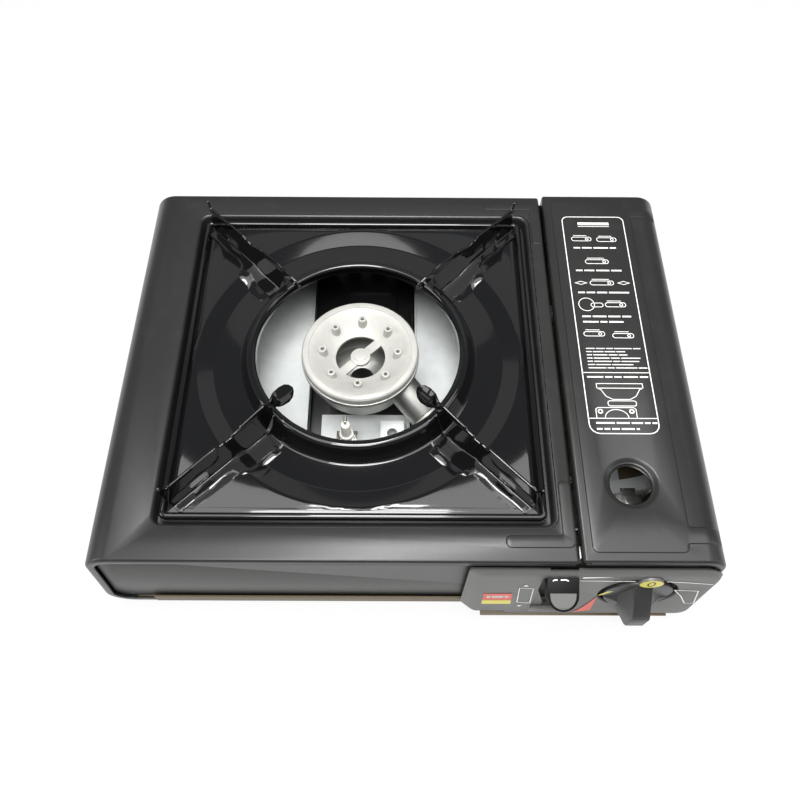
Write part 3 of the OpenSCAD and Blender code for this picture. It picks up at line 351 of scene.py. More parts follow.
def linked(name, data):
    """A new object of the scene, made of this data."""
    thing = bpy.data.objects.new(name, data)
    bpy.context.scene.collection.objects.link(thing)
    return thing


# what counts as one point, as an edge without length, and as flat
WELD_MM = 0.004
SPECK_MM = 0.002
FLAT_DEGREES = 0.5
# edges that turn by more than this are rounded
EDGE_DEGREES = 40


def weld(mesh, dissolve=False):
    """Joins points that meet, and turns the faces to one side."""
    work = bmesh.new()
    work.from_mesh(mesh)
    bmesh.ops.remove_doubles(work, verts=work.verts, dist=WELD_MM * MM)
    bmesh.ops.dissolve_degenerate(work, edges=work.edges, dist=SPECK_MM * MM)
    if dissolve:
        flat = math.radians(FLAT_DEGREES)
        bmesh.ops.dissolve_limit(work, angle_limit=flat, verts=work.verts, edges=work.edges)
    bmesh.ops.recalc_face_normals(work, faces=work.faces)
    work.to_mesh(mesh)
    work.free()


def settle(piece, thick=0.0, bevel=0.0, sharp=30.0):
    """Applies a sheet's thickness, both ways from its middle, and its small edge rounding."""
    if thick:
        solid = piece.modifiers.new("thickness", "SOLIDIFY")
        solid.thickness = thick * MM
        solid.offset = 0
    if bevel:
        edge = piece.modifiers.new("edge", "BEVEL")
        edge.width = bevel * MM
        edge.segments = 2
        edge.limit_method = "ANGLE"
        edge.angle_limit = math.radians(EDGE_DEGREES)
        edge.harden_normals = False
    bpy.context.view_layer.update()
    graph = bpy.context.evaluated_depsgraph_get()
    made = bpy.data.meshes.new_from_object(piece.evaluated_get(graph))
    piece.modifiers.clear()
    piece.data = made
    made.name = piece.name
    made.shade_smooth()
    made.set_sharp_from_angle(angle=math.radians(sharp))


def finished(node, name, finish, slot, bevel=0.25, sharp=30.0):
    """A copy of a CAD node with its edges rounded, which stands for it."""
    source = frame["nodes"][node]
    mesh = source.data.copy()
    mesh.materials.clear()
    if mesh.has_custom_normals:
        mesh.attributes.remove(mesh.attributes["custom_normal"])
    piece = linked(name, mesh)
    weld(mesh, dissolve=True)
    settle(piece, 0.0, bevel, sharp)
    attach(piece, source["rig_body"])
    dress(piece, finish, slot, node)
    return piece


def dress(piece, finish, slot="", *nodes):
    """Gives a piece its finish, and says which CAD nodes it stands for; its slot is not used."""
    piece.data.materials.clear()
    piece.data.materials.append(finish_of(finish))
    if nodes:
        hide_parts(*nodes)
    return piece


# ---------------------------------------------------------- shader maths


class Wire:
    """A shader socket that takes part in sums."""

    def __init__(self, finish, socket):
        self.finish, self.socket = finish, socket

    def math(self, operation, *values):
        """What a sum of these values gives."""
        inputs = dict(enumerate(values))
        return self.finish.add("ShaderNodeMath", {"operation": operation}, inputs)

    def __add__(self, other):
        return self.math("ADD", self, other)

    __radd__ = __add__

    def __sub__(self, other):
        return self.math("SUBTRACT", self, other)

    def __rsub__(self, other):
        return self.math("SUBTRACT", other, self)

    def __mul__(self, other):
        return self.math("MULTIPLY", self, other)

    __rmul__ = __mul__

    def least(self, other):
        """The smaller of two values."""
        return self.math("MINIMUM", self, other)

    def ramp(self, low, high, start=0.0, end=1.0):
        """Runs smoothly from start to end as this goes from low to high."""
        settings = {"interpolation_type": "SMOOTHSTEP"}
        inputs = {"Value": self, "From Min": low, "From Max": high, "To Min": start, "To Max": end}
        return self.finish.add("ShaderNodeMapRange", settings, inputs)


class Nodes:
    """The nodes of a material or of the world, all made by add."""

    def __init__(self, owner):
        owner.use_nodes = True
        self.tree = owner.node_tree
        self.tree.nodes.clear()

    def add(self, kind, settings=None, inputs=None, output=0):
        """A node of a kind, with its settings and what goes into its sockets."""
        node = self.tree.nodes.new(kind)
        for key, value in (settings or {}).items():
            setattr(node, key, value)
        for key, value in (inputs or {}).items():
            self.feed(node.inputs[key], value)
        return Wire(self, node.outputs[output]) if node.outputs else None

    def feed(self, socket, value):
        """Links a wire to a socket, or sets the socket to a plain value."""
        if isinstance(value, Wire):
            self.tree.links.new(value.socket, socket)
        else:
            socket.default_value = value

    def rays(self, *kinds):
        """1 for the rays of these kinds, and 0 for the others."""
        seen = [self.add("ShaderNodeLightPath", output=f"Is {kind} Ray") for kind in kinds]
        return seen[0] if len(seen) == 1 else sum(seen[1:], seen[0]).least(1.0)


class Finish(Nodes):
    """A material and the nodes that make it."""

    def __init__(self, name):
        self.material = bpy.data.materials.new(name)
        super().__init__(self.material)
        self.surface = self.add("ShaderNodeBsdfPrincipled")
        self.shader = self.surface.socket.node

    def shown(self, surface=None):
        """The material, which shows its own shader or another surface."""
        self.add("ShaderNodeOutputMaterial", None, {0: surface or self.surface})
        return self.material

    def set(self, **values):
        """Sets the shader's own sockets, with spaces written as underscores."""
        for key, value in values.items():
            self.feed(self.shader.inputs[key.replace("_", " ")], value)

    def place(self):
        """The place on the piece itself."""
        return self.add("ShaderNodeTexCoord", output="Object")

    def noise(self, per_mm, detail=2.0, rough=0.5, stretch=(1, 1, 1)):
        """Cloudy variation from 0 to 1, at so many lumps to the millimetre."""
        where = self.add(
            "ShaderNodeVectorMath",
            {"operation": "MULTIPLY"},
            {0: self.place(), 1: [s * per_mm / MM for s in stretch]},
        )
        inputs = {"Vector": where, "Scale": 1.0, "Detail": detail, "Roughness": rough}
        return self.add("ShaderNodeTexNoise", None, inputs)

    def mix(self, share, first, second):
        """A colour between two colours."""
        ends = [(*c, 1.0) if isinstance(c, tuple) else c for c in (first, second)]
        inputs = {0: share, 6: ends[0], 7: ends[1]}
        return self.add("ShaderNodeMix", {"data_type": "RGBA"}, inputs, output=2)

    def bump(self, height, distance_mm, strength=1.0):
        """Small relief in the surface, of so many millimetres."""
        inputs = {"Height": height, "Distance": distance_mm * MM, "Strength": strength}
        self.set(Normal=self.add("ShaderNodeBump", None, inputs))


def colour(red, green, blue):
    """A colour seen as these 0 to 255 values, for a shader."""
    values = (red / 255, green / 255, blue / 255)
    return tuple(v / 12.92 if v <= 0.04045 else ((v + 0.055) / 1.055) ** 2.4 for v in values)


def shade(base, factor):
    """A lighter or darker kind of a colour."""
    return tuple(min(1.0, c * factor) for c in base)


def coated(name, base, rough, spread=0.08, coat=0.0, peel=0.004):
    """Paint on sheet: clouded in tone and gloss, with orange peel and a little dust in patches."""
    finish = Finish(name)
    cloud = finish.noise(0.02, 3.0)
    fine = finish.noise(0.35, 3.0)
    patches = finish.noise(0.06, 5.0, 0.65).ramp(0.5, 0.72)
    tone = finish.mix(cloud, shade(base, 0.93), shade(base, 1.08))
    pale = tuple(c * 0.8 + 0.04 for c in base)
    finish.set(
        Base_Color=finish.mix(patches * 0.12, tone, pale),
        Roughness=(cloud - 0.5) * spread + (fine - 0.5) * 0.06 + rough,
        Coat_Weight=coat,
        Coat_Roughness=0.2,
    )
    finish.bump(finish.noise(0.9, 2.0), peel)
    return finish.shown()


def enamelled(name, base, rough):
    """Glossy enamel, clouded in tone, with pale specks and a faint waviness."""
    finish = Finish(name)
    cloud = finish.noise(0.015, 2.0)
    specks = finish.noise(1.6, 1.0).ramp(0.72, 0.8)
    tone = finish.mix(cloud, base, shade(base, 1.6))
    finish.set(
        Base_Color=finish.mix(specks * 0.5, tone, (0.04, 0.04, 0.04)),
        Roughness=cloud * 0.04 + rough,
        Coat_Weight=0.5,
        Coat_Roughness=0.03,
    )
    finish.bump(finish.noise(0.05, 2.0), 0.12, 0.3)
    return finish.shown()


def metal(name, base, rough, spangle=0.0, brushed=(1, 1, 1), scale=0.12, share=1.0):
    """Bare or plated metal: streaks or spangle in its gloss and tone, and faint stains.

    The share is how metallic it is: white light metals are less so, and keep their tone.
    """
    finish = Finish(name)
    grain = finish.noise(scale, 4.0, 0.6, brushed)
    stain = finish.noise(0.05, 4.0, 0.6).ramp(0.45, 0.75)
    tone = finish.mix(grain, shade(base, 0.86), shade(base, 1.08))
    if spangle:
        inputs = {"Vector": finish.place(), "Scale": 180.0}
        cells = finish.add("ShaderNodeTexVoronoi", None, inputs, output=1)
        grey = finish.add("ShaderNodeRGBToBW", None, {0: cells})
        tone = finish.mix(grey * spangle, tone, shade(base, 0.72))
    finish.set(
        Base_Color=finish.mix(stain * 0.35, tone, shade(base, 0.72)),
        Roughness=(grain - 0.5) * 0.16 + stain * 0.08 + rough,
        Metallic=share,
    )
    finish.bump(grain, 0.01)
    return finish.shown()


def plastic(name, base, rough, texture=0.01, grain=1.2, metallic=0.0, sheen=0.5):
    """Moulded plastic: a fine spark texture, and wear that shows as gloss."""
    finish = Finish(name)
    cloud = finish.noise(0.05, 3.0)
    spark = finish.noise(grain, 2.0, 0.7)
    finish.set(
        Base_Color=finish.mix(cloud, shade(base, 0.94), shade(base, 1.06)),
        Roughness=(cloud - 0.5) * 0.1 + (spark - 0.5) * 0.08 + rough,
        Metallic=metallic,
        Specular_IOR_Level=sheen,
    )
    finish.bump(spark, texture)
    return finish.shown()


def ink(name, base, rough):
    """Screen-printed ink, slightly uneven in tone."""
    finish = Finish(name)
    cloud = finish.noise(0.5, 3.0)
    tone = finish.mix(cloud, shade(base, 0.9), shade(base, 1.04))
    finish.set(Base_Color=tone, Roughness=cloud * 0.1 + rough)
    return finish.shown()


# each finish: how it is made, its colour from 0 to 255 or the setting that holds it, its
# roughness, and what sets it apart
FINISHES = {
    "satin_paint": (coated, "paint", 0.31, {"spread": 0.06, "peel": 0.006}),
    "panel_paint": (coated, (58, 58, 56), 0.40, {"spread": 0.06, "peel": 0.006}),
    # the base's paint, tinted olive brown: partly a painted warm reflection along its front lip
    "base_paint": (coated, (98, 84, 58), 0.45, {}),
    "heatproof_paint": (coated, (22, 22, 22), 0.32, {"spread": 0.1, "coat": 0.25}),
    "enamel": (enamelled, "enamel", 0.05, {}),
    "galvanised": (metal, (236, 240, 238), 0.5, {"spangle": 0.2, "share": 0.0}),
    "bright_plate": (metal, (214, 214, 208), 0.24, {"brushed": (1, 6, 1)}),
    "cap_metal": (metal, (186, 185, 179), 0.45, {"scale": 0.3, "share": 0.15}),
    "tube_metal": (metal, (236, 235, 228), 0.32, {"scale": 0.2, "share": 0.25}),
    "cast_metal": (metal, (176, 176, 172), 0.45, {"scale": 0.6}),
    "brass": (metal, (214, 176, 104), 0.26, {}),
    "housing_plastic": (plastic, "housing", 0.42, {"texture": 0.006, "metallic": 0.35}),
    "knob_plastic": (plastic, "knob", 0.38, {}),
    "lever_plastic": (plastic, (15, 15, 15), 0.5, {"sheen": 0.2}),
    # painted reflection: the lighter grey of the lever's front face where it catches light
    "lever_grey": (plastic, (112, 112, 109), 0.40, {}),
    # painted shade: black standing for the dark inside of the knob's pocket
    "pocket_black": (plastic, (8, 8, 8), 0.6, {"sheen": 0.15}),
    "cream_plastic": (plastic, (220, 214, 196), 0.45, {}),
    "ceramic": (plastic, (240, 237, 228), 0.14, {"texture": 0.002}),
    "sleeve": (plastic, (232, 229, 220), 0.40, {"texture": 0.02, "grain": 0.6}),
    "rubber": (plastic, (26, 26, 26), 0.72, {"texture": 0.03, "grain": 0.8}),
    "white_ink": (ink, (250, 250, 246), 0.4, {}),
    "red_ink": (ink, (222, 96, 80), 0.4, {}),
    "yellow_ink": (ink, (226, 214, 96), 0.4, {}),
    "oval_ink": (ink, (226, 214, 96), 0.4, {}),
    "dark_ink": (ink, (40, 38, 36), 0.4, {}),
}


@cache
def finish_of(name):
    """The material of this name, made when it is first used."""
    maker, tone, rough, more = FINISHES[name]
    if isinstance(tone, str):
        tone = getattr(bpy.context.scene.stove_finish, tone)
    return maker(name, colour(*tone), rough, **more)


# ---------------------------------------------------------- folded pieces


def rolled(v, low, high):
    """Where a flat place v ends up: how far along the piece, and how far in from its outside."""
    roll, bend = EDGE_ROLL, ROLL_LENGTH
    length = high - low - 2 * roll
    past = -v if v < 0 else v - length
    if past <= 0:
        return low + roll + v, 0.0
    if past < bend:
        reach = roll * math.sin(past / roll)
        inset = roll * (1 - math.cos(past / roll))
    else:
        reach, inset = roll, roll + past - bend
    return (low + roll - reach if v < 0 else high - roll + reach), inset


def bent_sheet(section, low, high, draw, steps=4):
    """A sheet that follows a section in x and z, with its ends rolled over into flanges."""
    points, normals, along = section
    length = high - low - 2 * EDGE_ROLL
    reach = ROLL_LENGTH + FLANGE - EDGE_ROLL
    blank = Blank((0.0, -reach), (along[-1], length + reach))
    for k in range(steps + 1):
        blank.crease(v=-ROLL_LENGTH * k / steps)
        blank.crease(v=length + ROLL_LENGTH * k / steps)
    for u in along[1:-1]:
        blank.crease(u=u)
    draw(blank, along, length, reach)
    stations = np.array(along)

    def bend_to(u, v, height):
        i = min(max(int(np.searchsorted(stations, u)) - 1, 0), len(points) - 2)
        t = (u - along[i]) / (along[i + 1] - along[i])
        at = points[i].lerp(points[i + 1], t)
        out = normals[i].lerp(normals[i + 1], t)
        out.normalize()
        y, inset = rolled(v, low, high)
        at = at + out * (height - inset)
        return Vector((at.x, y, at.y))

    return blank.folded(bend_to)


def wall_corner(top, bottom, radius, level):
    """Where the slanting wall outside two bends meets a level line."""
    run = bottom - top
    start = top + Vector((run.y, -run.x)).normalized() * radius
    return start + run * (level - start.y) / run.y


def free_lip(blank, lip_end, length, reach):
    """Cuts the rolled ends off a lip, so that it stands free."""
    for low, high in ((-reach, 0), (length, length + reach)):
        blank.hole([Vector(p) for p in ((0, low), (lip_end, low), (lip_end, high), (0, high))])


# a pressed rib: (distance outside its line, height)
RIB = [(0.9, 0.0), (0.5, 0.12), (0.1, 0.6), (-0.3, 0.72)]
RIB_UP = RIB[-1][1]
RIB_W = 5

# the edge folded down along the seam, and the one under the left wall
LIP = 5
LIP_BEND = 1.2
UNDER_TURN = 11

# the pan's opening: its corners, the roll of its edge, and the ledge that the pan rests on
OPENING_CORNER = 5
OPENING_ROLL = 1.5
LEDGE_DOWN = 9
LEDGE_W = 6


def make_cover():
    """The folded cover with its pan opening, ledge and ribs."""
    half = HALF_SHEET
    radius = COVER_BEND_R - half
    lip = SEAM - half
    level = TOP - half
    under = cover_low.z + half
    upper = wall_corner(SHOULDER, HEEL, radius, level)
    lower = wall_corner(SHOULDER, HEEL, radius, under)
    section = fold([
        (lip, TOP - LIP),
        (lip, level, LIP_BEND),
        (*upper, radius),
        (*lower, radius),
        (HEEL.x + UNDER_TURN, under),
    ])
    low, high = FRONT + half, BACK - half
    start_v = low + EDGE_ROLL
    lip_end = section[2][3]

    def flat(x, y):
        """A place on the cover's top, in the flat blank."""
        return (lip_end + (section[0][3].x - x), y - start_v)

    def drawn(corners):
        return [(*flat(x, y), r) for x, y, r in reversed(corners)]

    opening = rounded(
        -OPENING_W / 2, -OPENING_W / 2, OPENING_W / 2, OPENING_W / 2, OPENING_CORNER)

    def draw(blank, _along, length, reach):
        blank.hole(outline(drawn(opening), half + OPENING_ROLL))
        x0, x1 = SEAM - 35.5, SEAM - 1.8
        y0, y1 = FRONT + 8.5, BACK - 6.1
        inner = x1 - RIB_W
        front_end, back_end = y0 + 34.5, y1 - 33
        blank.figure(drawn([
            (x0, y0, 2), (x1, y0, 3), (x1, front_end, 2), (inner, front_end, 2),
            (inner, y0 + RIB_W, 2), (x0, y0 + RIB_W, 2)]), RIB)
        blank.figure(drawn([
            (x0, y1 - RIB_W, 2), (inner, y1 - RIB_W, 2), (inner, back_end, 2), (x1, back_end, 2),
            (x1, y1, 3), (x0, y1, 2)]), RIB)
        free_lip(blank, lip_end, length, reach)

    made = bent_sheet(section, low, high, draw)
    # the opening's edge rolls down to the ledge: (distance outside the opening, height)
    edge = []
    for a in (math.pi / 8 * step for step in range(5)):
        inwards, down = 1 - math.sin(a), 1 - math.cos(a)
        edge.append((half + OPENING_ROLL * inwards, level - OPENING_ROLL * down))
    ledge = TOP - LEDGE_DOWN - half
    edge += [(half, ledge + 1.2), (half - 0.35, ledge + 0.35), (half - 1.2, ledge)]
    edge.append((-LEDGE_W, ledge))
    made.skin(*[[(p.x, p.y, z) for p in outline(opening, grow)] for grow, z in edge])
    piece = made.object("cover_shell", "stove", SHEET, 0.18)
    return dress(piece, "satin_paint", "satin_black_paint", "body_cover")


# the lid's raised field, as (x, y, corner's radius): it runs over the shoulder in two lugs
FIELD = [
    (120, -116, 2.5), (166.8, -116, 2.5), (166.8, -111.3, 1.5), (186, -111.3, 0.6),
    (186, -104, 0.6), (168.3, -104, 2), (168.3, 102, 2), (186, 102, 0.6), (186, 108.4, 0.6),
    (166, 108.4, 1.5), (162.5, 113.5, 1.5), (158, 115.6, 2), (120, 115.6, 2.5),
]
# the dished rim of the lid's window: (distance outside the hole, height)
WELL = [(3.2, 0.0), (2.4, -0.25), (1.2, -1.5), (0.4, -2.0), (0.0, -2.1)]
# where the lid's lower corners are cut away beside the hinge
NOTCH_LONG = 7.0
NOTCH_W = 4.3
# how far the lid's wall stops above the lowest part of its ears
LID_HEM = 1.9


def make_lid():
    """The lid: a folded sheet with a raised field, a window, and ears for the hinge pins."""
    half = HALF_SHEET
    radius = LID_BEND_R - half
    lip = lid_low.x + half
    level = LID_TOP - half
    run = LID_HEEL - LID_SHOULDER
    out = Vector((-run.y, run.x)).normalized() * radius
    start = LID_SHOULDER + out
    corner = start + run * (level - start.y) / run.y
    foot = start + run * (lid_low.z + LID_HEM - start.y) / run.y
    section = fold(
        [(lip, TOP - LIP), (lip, level, LIP_BEND), (*corner, radius), (*foot,)], side=-1)
    low, high = FRONT + half, BACK - half
    start_v = low + EDGE_ROLL
    lip_end = section[2][3]
    base_x = section[0][3].x

    def flat(x, y):
        """A place on the lid's top, in the flat blank."""
        return (lip_end + (x - base_x), y - start_v)

    def drawn(corners):
        return [(*flat(x, y), r) for x, y, r in corners]

    # the window's hole, just wider than the sleeve that lines it
    hole_r = WINDOW_R + 0.3
    around = 72

    def draw(blank, along, length, reach):
        blank.figure(drawn(FIELD), RIB)
        centre = flat(*WINDOW)
        for grow, _ in WELL[:-1]:
            blank.loops.append(circle(*centre, hole_r + grow, around))
        ring = circle(*centre, hole_r, around)
        blank.figures.append((ring, sorted(WELL)))
        blank.hole(ring)
        free_lip(blank, lip_end, length, reach)
        end = along[-1]
        notch = end - NOTCH_LONG
        for a, b in ((-reach, NOTCH_W), (length - NOTCH_W, length + reach)):
            blank.hole([Vector(p) for p in ((notch, a), (end, a), (end, b), (notch, b))])

    made = bent_sheet(section, low, high, draw)
    rim = [(hole_r, level - 2.1), (WINDOW_R, level - 2.4), (WINDOW_R, level - 3.6)]
    made.lathe(rim, WINDOW, around)
    piece = made.object("lid_shell", "lid", SHEET, 0.18)
    ears = Mesh()
    shape = [(HINGE.x - 3.4, HINGE.y - 3.4, 3.3), (HINGE.x + 3.2, HINGE.y - 3.4, 3.3),
             (191.3, 55.6, 0.2), (187.2, 55.6, 0.2), (HINGE.x - 3.4, HINGE.y + 3, 2.4)]
    pin_hole = circle(*HINGE, 1.56, 24)
    for y in (low, high):
        ears.fill([(p.x, y, p.y) for p in outline(shape)], [(p.x, y, p.y) for p in pin_hole])
    ear = ears.object("lid_ears", "lid", SHEET * 0.96, 0.12)
    dress(ear, "satin_paint", "satin_black_paint")
    return dress(piece, "satin_paint", "satin_black_paint", "cartridge_lid")


def make_pan():
    """The enamelled pan: rim, flat corners, ring channel and collar."""
    thick = 0.9
    half = thick / 2
    rim_top = TOP - 1.5 - half
    flat = TOP - 4
    channel = TOP - 7
    crest = TOP + 4
    made = Mesh()
    corners = rounded(PAN.x - PAN_HALF, PAN.y - PAN_HALF, PAN.x + PAN_HALF, PAN.y + PAN_HALF, 4.5)
    # the rim's section: distance outside the pan's edge, height and bend
    rim, *_ = fold([
        (-half, pan_low.z), (-half, rim_top, 1.7), (-3.1, rim_top, 1.3),
        (-4.2, flat - 0.7 - half, 0.5), (-5.8, flat - half, 1.5), (-7.2, flat - half)], step=12)
    loops = [[(p.x, p.y, r.y) for p in outline(corners, r.x)] for r in rim]
    made.skin(*loops)
    # the ring channel and the collar: radius, height and bend
    dish = [
        (94.4, flat), (92.4, flat, 4), (82.8, channel, 4), (66.4, channel, 3.0),
        (61.7, crest, 1.9), (58.5, crest, 1.0), (58.5, TOP - 1)]
    points, normals, _ = fold(dish, side=-1, step=9)
    middle_line = [p - n * half for p, n in zip(points, normals)]
    edge = made.lathe(middle_line, PAN, 144)[0]
    made.fill(loops[-1], edge)
    piece = made.object("pan_enamelled", "pan_and_supports", thick, 0.12, 42.0)
    return dress(piece, "enamel", "black_enamel", "drip_pan")


# each support: its name, its direction in degrees, and the side that its foot lies on
SUPPORTS = (
    ("front_left", 225, 1), ("front_right", 315, -1), ("back_left", 135, 1), ("back_right", 45, -1))
# the pan's top under a support: (radius, height from the cover's top)
BED = ((60.0, -7.0), (81.5, -7.0), (83.5, -6.7), (91.2, -4.3), (92.8, -4.0), (140.0, -4.0))
# the supports' top edge from the cover's top, and the radii of their two ends
COOK = 21.5
ARM_IN, ARM_OUT = 46.6, 132.6
ARM_HALF = 0.6
ARM_BEND = 1.1
# the inner end's twist in degrees, at the front and at the back, and where it begins
TWIST_FRONT, TWIST_BACK = 30, -12
TWIST_FROM = 63.0
TWIST_RUN = 7
# the outer end leans aside from here on
LEAN_FROM = 126.5
# radii at which a support's blank is cut into strips, so that it bends smoothly
CREASES = (
    48, 50, 52, 54, 56, 57.5, 59, 60, 61, 62, 63.5, 66, 69, 75, 81.5, 82.5, 83.5, 85, 87, 89,
    91.2, 92, 92.8, 95, 98, 104, 112, 120, 126, 128, 129.5, 131)


def bed(radius):
    """The height of the pan's top from the cover's top, under a support, at a radius."""
    return float(np.interp(radius, [b[0] for b in BED], [b[1] for b in BED]))


def make_arm(spot, angle, side):
    """A pan support: one folded sheet with a twisted inner end, a window, and a foot on the pan."""
    half, bend_r = ARM_HALF, ARM_BEND
    way = Vector((math.cos(math.radians(angle)), math.sin(math.radians(angle)), 0))
    across = Vector((-way.y, way.x, 0)) * side
    lean = 1.0 if across.y > 0 else -1.0
    twist_by = math.radians(TWIST_FRONT if way.y < 0 else TWIST_BACK) * lean
    arc = bend_r * math.pi / 2

    def at(share):
        """The radius at a share of the way from the inner end to the outer."""
        return ARM_IN + share * (ARM_OUT - ARM_IN)

    def up(r, z):
        """A place on the blade, with its height from the cover's top, in the flat blank."""
        return (r, z - bed(r) - bend_r - half + arc)

    # the blade's outline in three runs: up under its inner end, out along the foot, and back on top
    inner = [
        (46.6, 16.5, 1), (47.4, 13.9, 1), (49.4, 11.7, 1), (52.2, 10.7, 1), (56.5, 11.3, 1),
        (58.9, 12.5, 1), (60.5, 13.5, 0.6), (61.7, 11.5, 0.8), (62.1, 7.0, 1), (63.5, 4.6, 1),
        (69.0, -4.0, 0.5),
    ]
    foot = [
        (70.2, 11.6, 1.0), (80.0, 11.9, 2), (86.0, 10.4, 3), (90.5, 10.8, 3), (94.6, 8.6, 3),
        (97.5, 3.6, 3), (103.0, 2.6, 3), (111.0, 3.4, 3), (121.0, 2.4, 3), (130.6, 2.6, 1.5),
    ]
    upper = [
        (131.2, 2.0, 1), (132.0, 9.6, 1), (132.6, 21.5, 0.5), (131.3, 21.5, 0.8), (129.2, 17.2, 1),
        (127.6, 17.7, 1), (at(0.598), 18.5, 1), (at(0.574), 16.9, 1), (at(0.544), 17.1, 1),
        (at(0.528), 16.1, 1), (at(0.481), 16.3, 1), (at(0.47), 17.7, 1), (at(0.412), 18.3, 1),
        (at(0.4), 19.3, 1), (at(0.342), 19.9, 1), (at(0.226), 21.3, 1), (61.9, 20.3, 1.5),
        (58.5, 21.1, 1.5), (53.0, 21.5, 1.5), (49.6, 20.7, 1), (47.5, 18.9, 1),
    ]
    window = [
        (at(0.705), -1.8, 1.2), (at(0.836), -1.8, 1.2), (at(0.836), 3.6, 1.0),
        (at(0.818), 5.2, 0.8), (at(0.722), 5.2, 0.8), (at(0.705), 3.6, 1.0),
    ]
    corners = [(*up(r, z), c) for r, z, c in inner]
    corners += [(r, -arc - out, c) for r, out, c in foot]
    corners += [(*up(r, z), c) for r, z, c in upper]
    blank = Blank((40.0, -25.0), (140.0, 40.0))
    blank.cut_to(outline(corners, 0.0, 3))
    blank.hole(outline([(*up(r, z), c) for r, z, c in window], 0.0, 4))
    for radius in CREASES:
        blank.crease(u=radius)
    for k in range(7):
        blank.crease(v=arc * k / 6 - 0.0001)
    for v in (-3.0, -6.0, -9.0, 6.0, 10.0, 14.0, 17.0, 19.5, 22.0):
        blank.crease(v=v)

    axis_z = TOP + COOK - 5.4

    def bend(u, v, _height):
        foot = TOP + bed(u) + half + 0.02
        if v <= 0:
            # the foot lies on the pan, with a faint wave along its free edge
            wave = 0.25 * math.sin((u - 94) * 0.45) * min(1.0, -v / 2.4) if u > 94 else 0.0
            aside, z = bend_r + half - v, foot + max(wave, 0.0)
        elif v < arc:
            turn = v / bend_r
            aside = bend_r + half - bend_r * math.sin(turn)
            z = foot + bend_r * (1 - math.cos(turn))
        else:
            aside, z = half, foot + bend_r + v - arc
        if u < TWIST_FROM:
            share = min(1.0, (TWIST_FROM - u) / TWIST_RUN)
            twist = twist_by * share * share * (3 - 2 * share)
            out, rise = aside - half, z - axis_z
            aside = half + out * math.cos(twist) + rise * math.sin(twist)
            z = axis_z + rise * math.cos(twist) - out * math.sin(twist)
        if u > LEAN_FROM and v > 10:
            aside += lean * 0.025 * (u - LEAN_FROM) ** 2
        return PAN + way * u + across * (aside - half) + Vector((0, 0, z))

    made = blank.folded(bend)
    piece = made.object(f"support_{spot}", "pan_and_supports", 2 * half - 0.1, 0.22, 40.0)
    return dress(piece, "enamel", "black_enamel", f"pan_arm_{spot}")


class Shell:
    """The control housing's skin: a leaning face, and walls from its edges to the body."""

    wall = 1.8
    # how much further back the face is at its top, and the height of the rounded edge above it
    lean = 3.6
    brow = 2.9

    def __init__(self):
        self.half = self.wall / 2
        self.foot = housing_low.z + self.half
        self.back = FRONT - 0.5
        self.front = housing_low.y + self.half
        self.low, self.high = self.foot + 3.5, TOP - 11

    def depth(self, z):
        """Where the leaning face is, at a height."""
        return self.front + self.lean * (z - self.low) / (self.high - self.low)

    def at(self, x, z, behind=0.0):
        """A place on the face's middle, or behind it."""
        return Vector((x, self.depth(z) + behind, z))

    def face(self, x, z, proud=0.04):
        """A place just proud of the outside of the face."""
        return Vector((x, self.depth(z) - self.half - proud, z))

    def edge(self):
        """The corners round the back of the walls and round the face, in pairs of equal count."""
        x0, x1 = housing_low.x + self.half, housing_high.x - self.half
        foot, top = self.foot, TOP - 6.5 - self.half
        crown = top - self.brow
        left, face_left, face_right = x0 - 0.4, x0 + 6.2, x1 - 1.6
        step = foot + 4.6
        back = [
            (left, foot + 1.0, 5.0), (70.6, foot, 0.2), (71.4, foot, 0.2), (83.0, foot, 0.2),
            (83.8, foot, 0.2), (x1, foot, 7.5), (x1, top, 11.0), (113.4, top, 0.02),
            (99.0, top, 0.02), (left, top, 2.0)]
        face = [
            (face_left, foot + 4.2, 2.5), (70.6, step, 0.4), (71.4, step, 0.4), (83.0, step, 0.4),
            (83.8, foot + 1.0, 0.4), (face_right, foot + 1.0, 6.5), (face_right, crown, 9.8),
            (113.4, crown, 0.02), (99.0, crown, 0.02), (face_left, crown, 3.0)]
        return back, face


# the lever's slot in the face, as (x, z, corner's radius), and how deep its walls run
SLOT = [
    (95.8, 13.0, 0.4), (115.8, 13.0, 0.4), (115.8, 54.0, 4.0), (114.4, 69.4, 1.6),
    (95.6, 69.4, 2.2),
]
SLOT_DEEP = 2.6
# the slanting cheek that closes the slot's left side, in x and z
CHEEK = [(95.4, 69.0), (97.8, 69.0), (98.2, 42.0), (103.6, 22.0), (103.6, 16.6), (95.6, 16.6)]
# the gap in the skin's top, over the lever
TOP_GAP = (99.2, 113.2)
POCKET_LIP = 0.9
POCKET_DEEP = 5.2


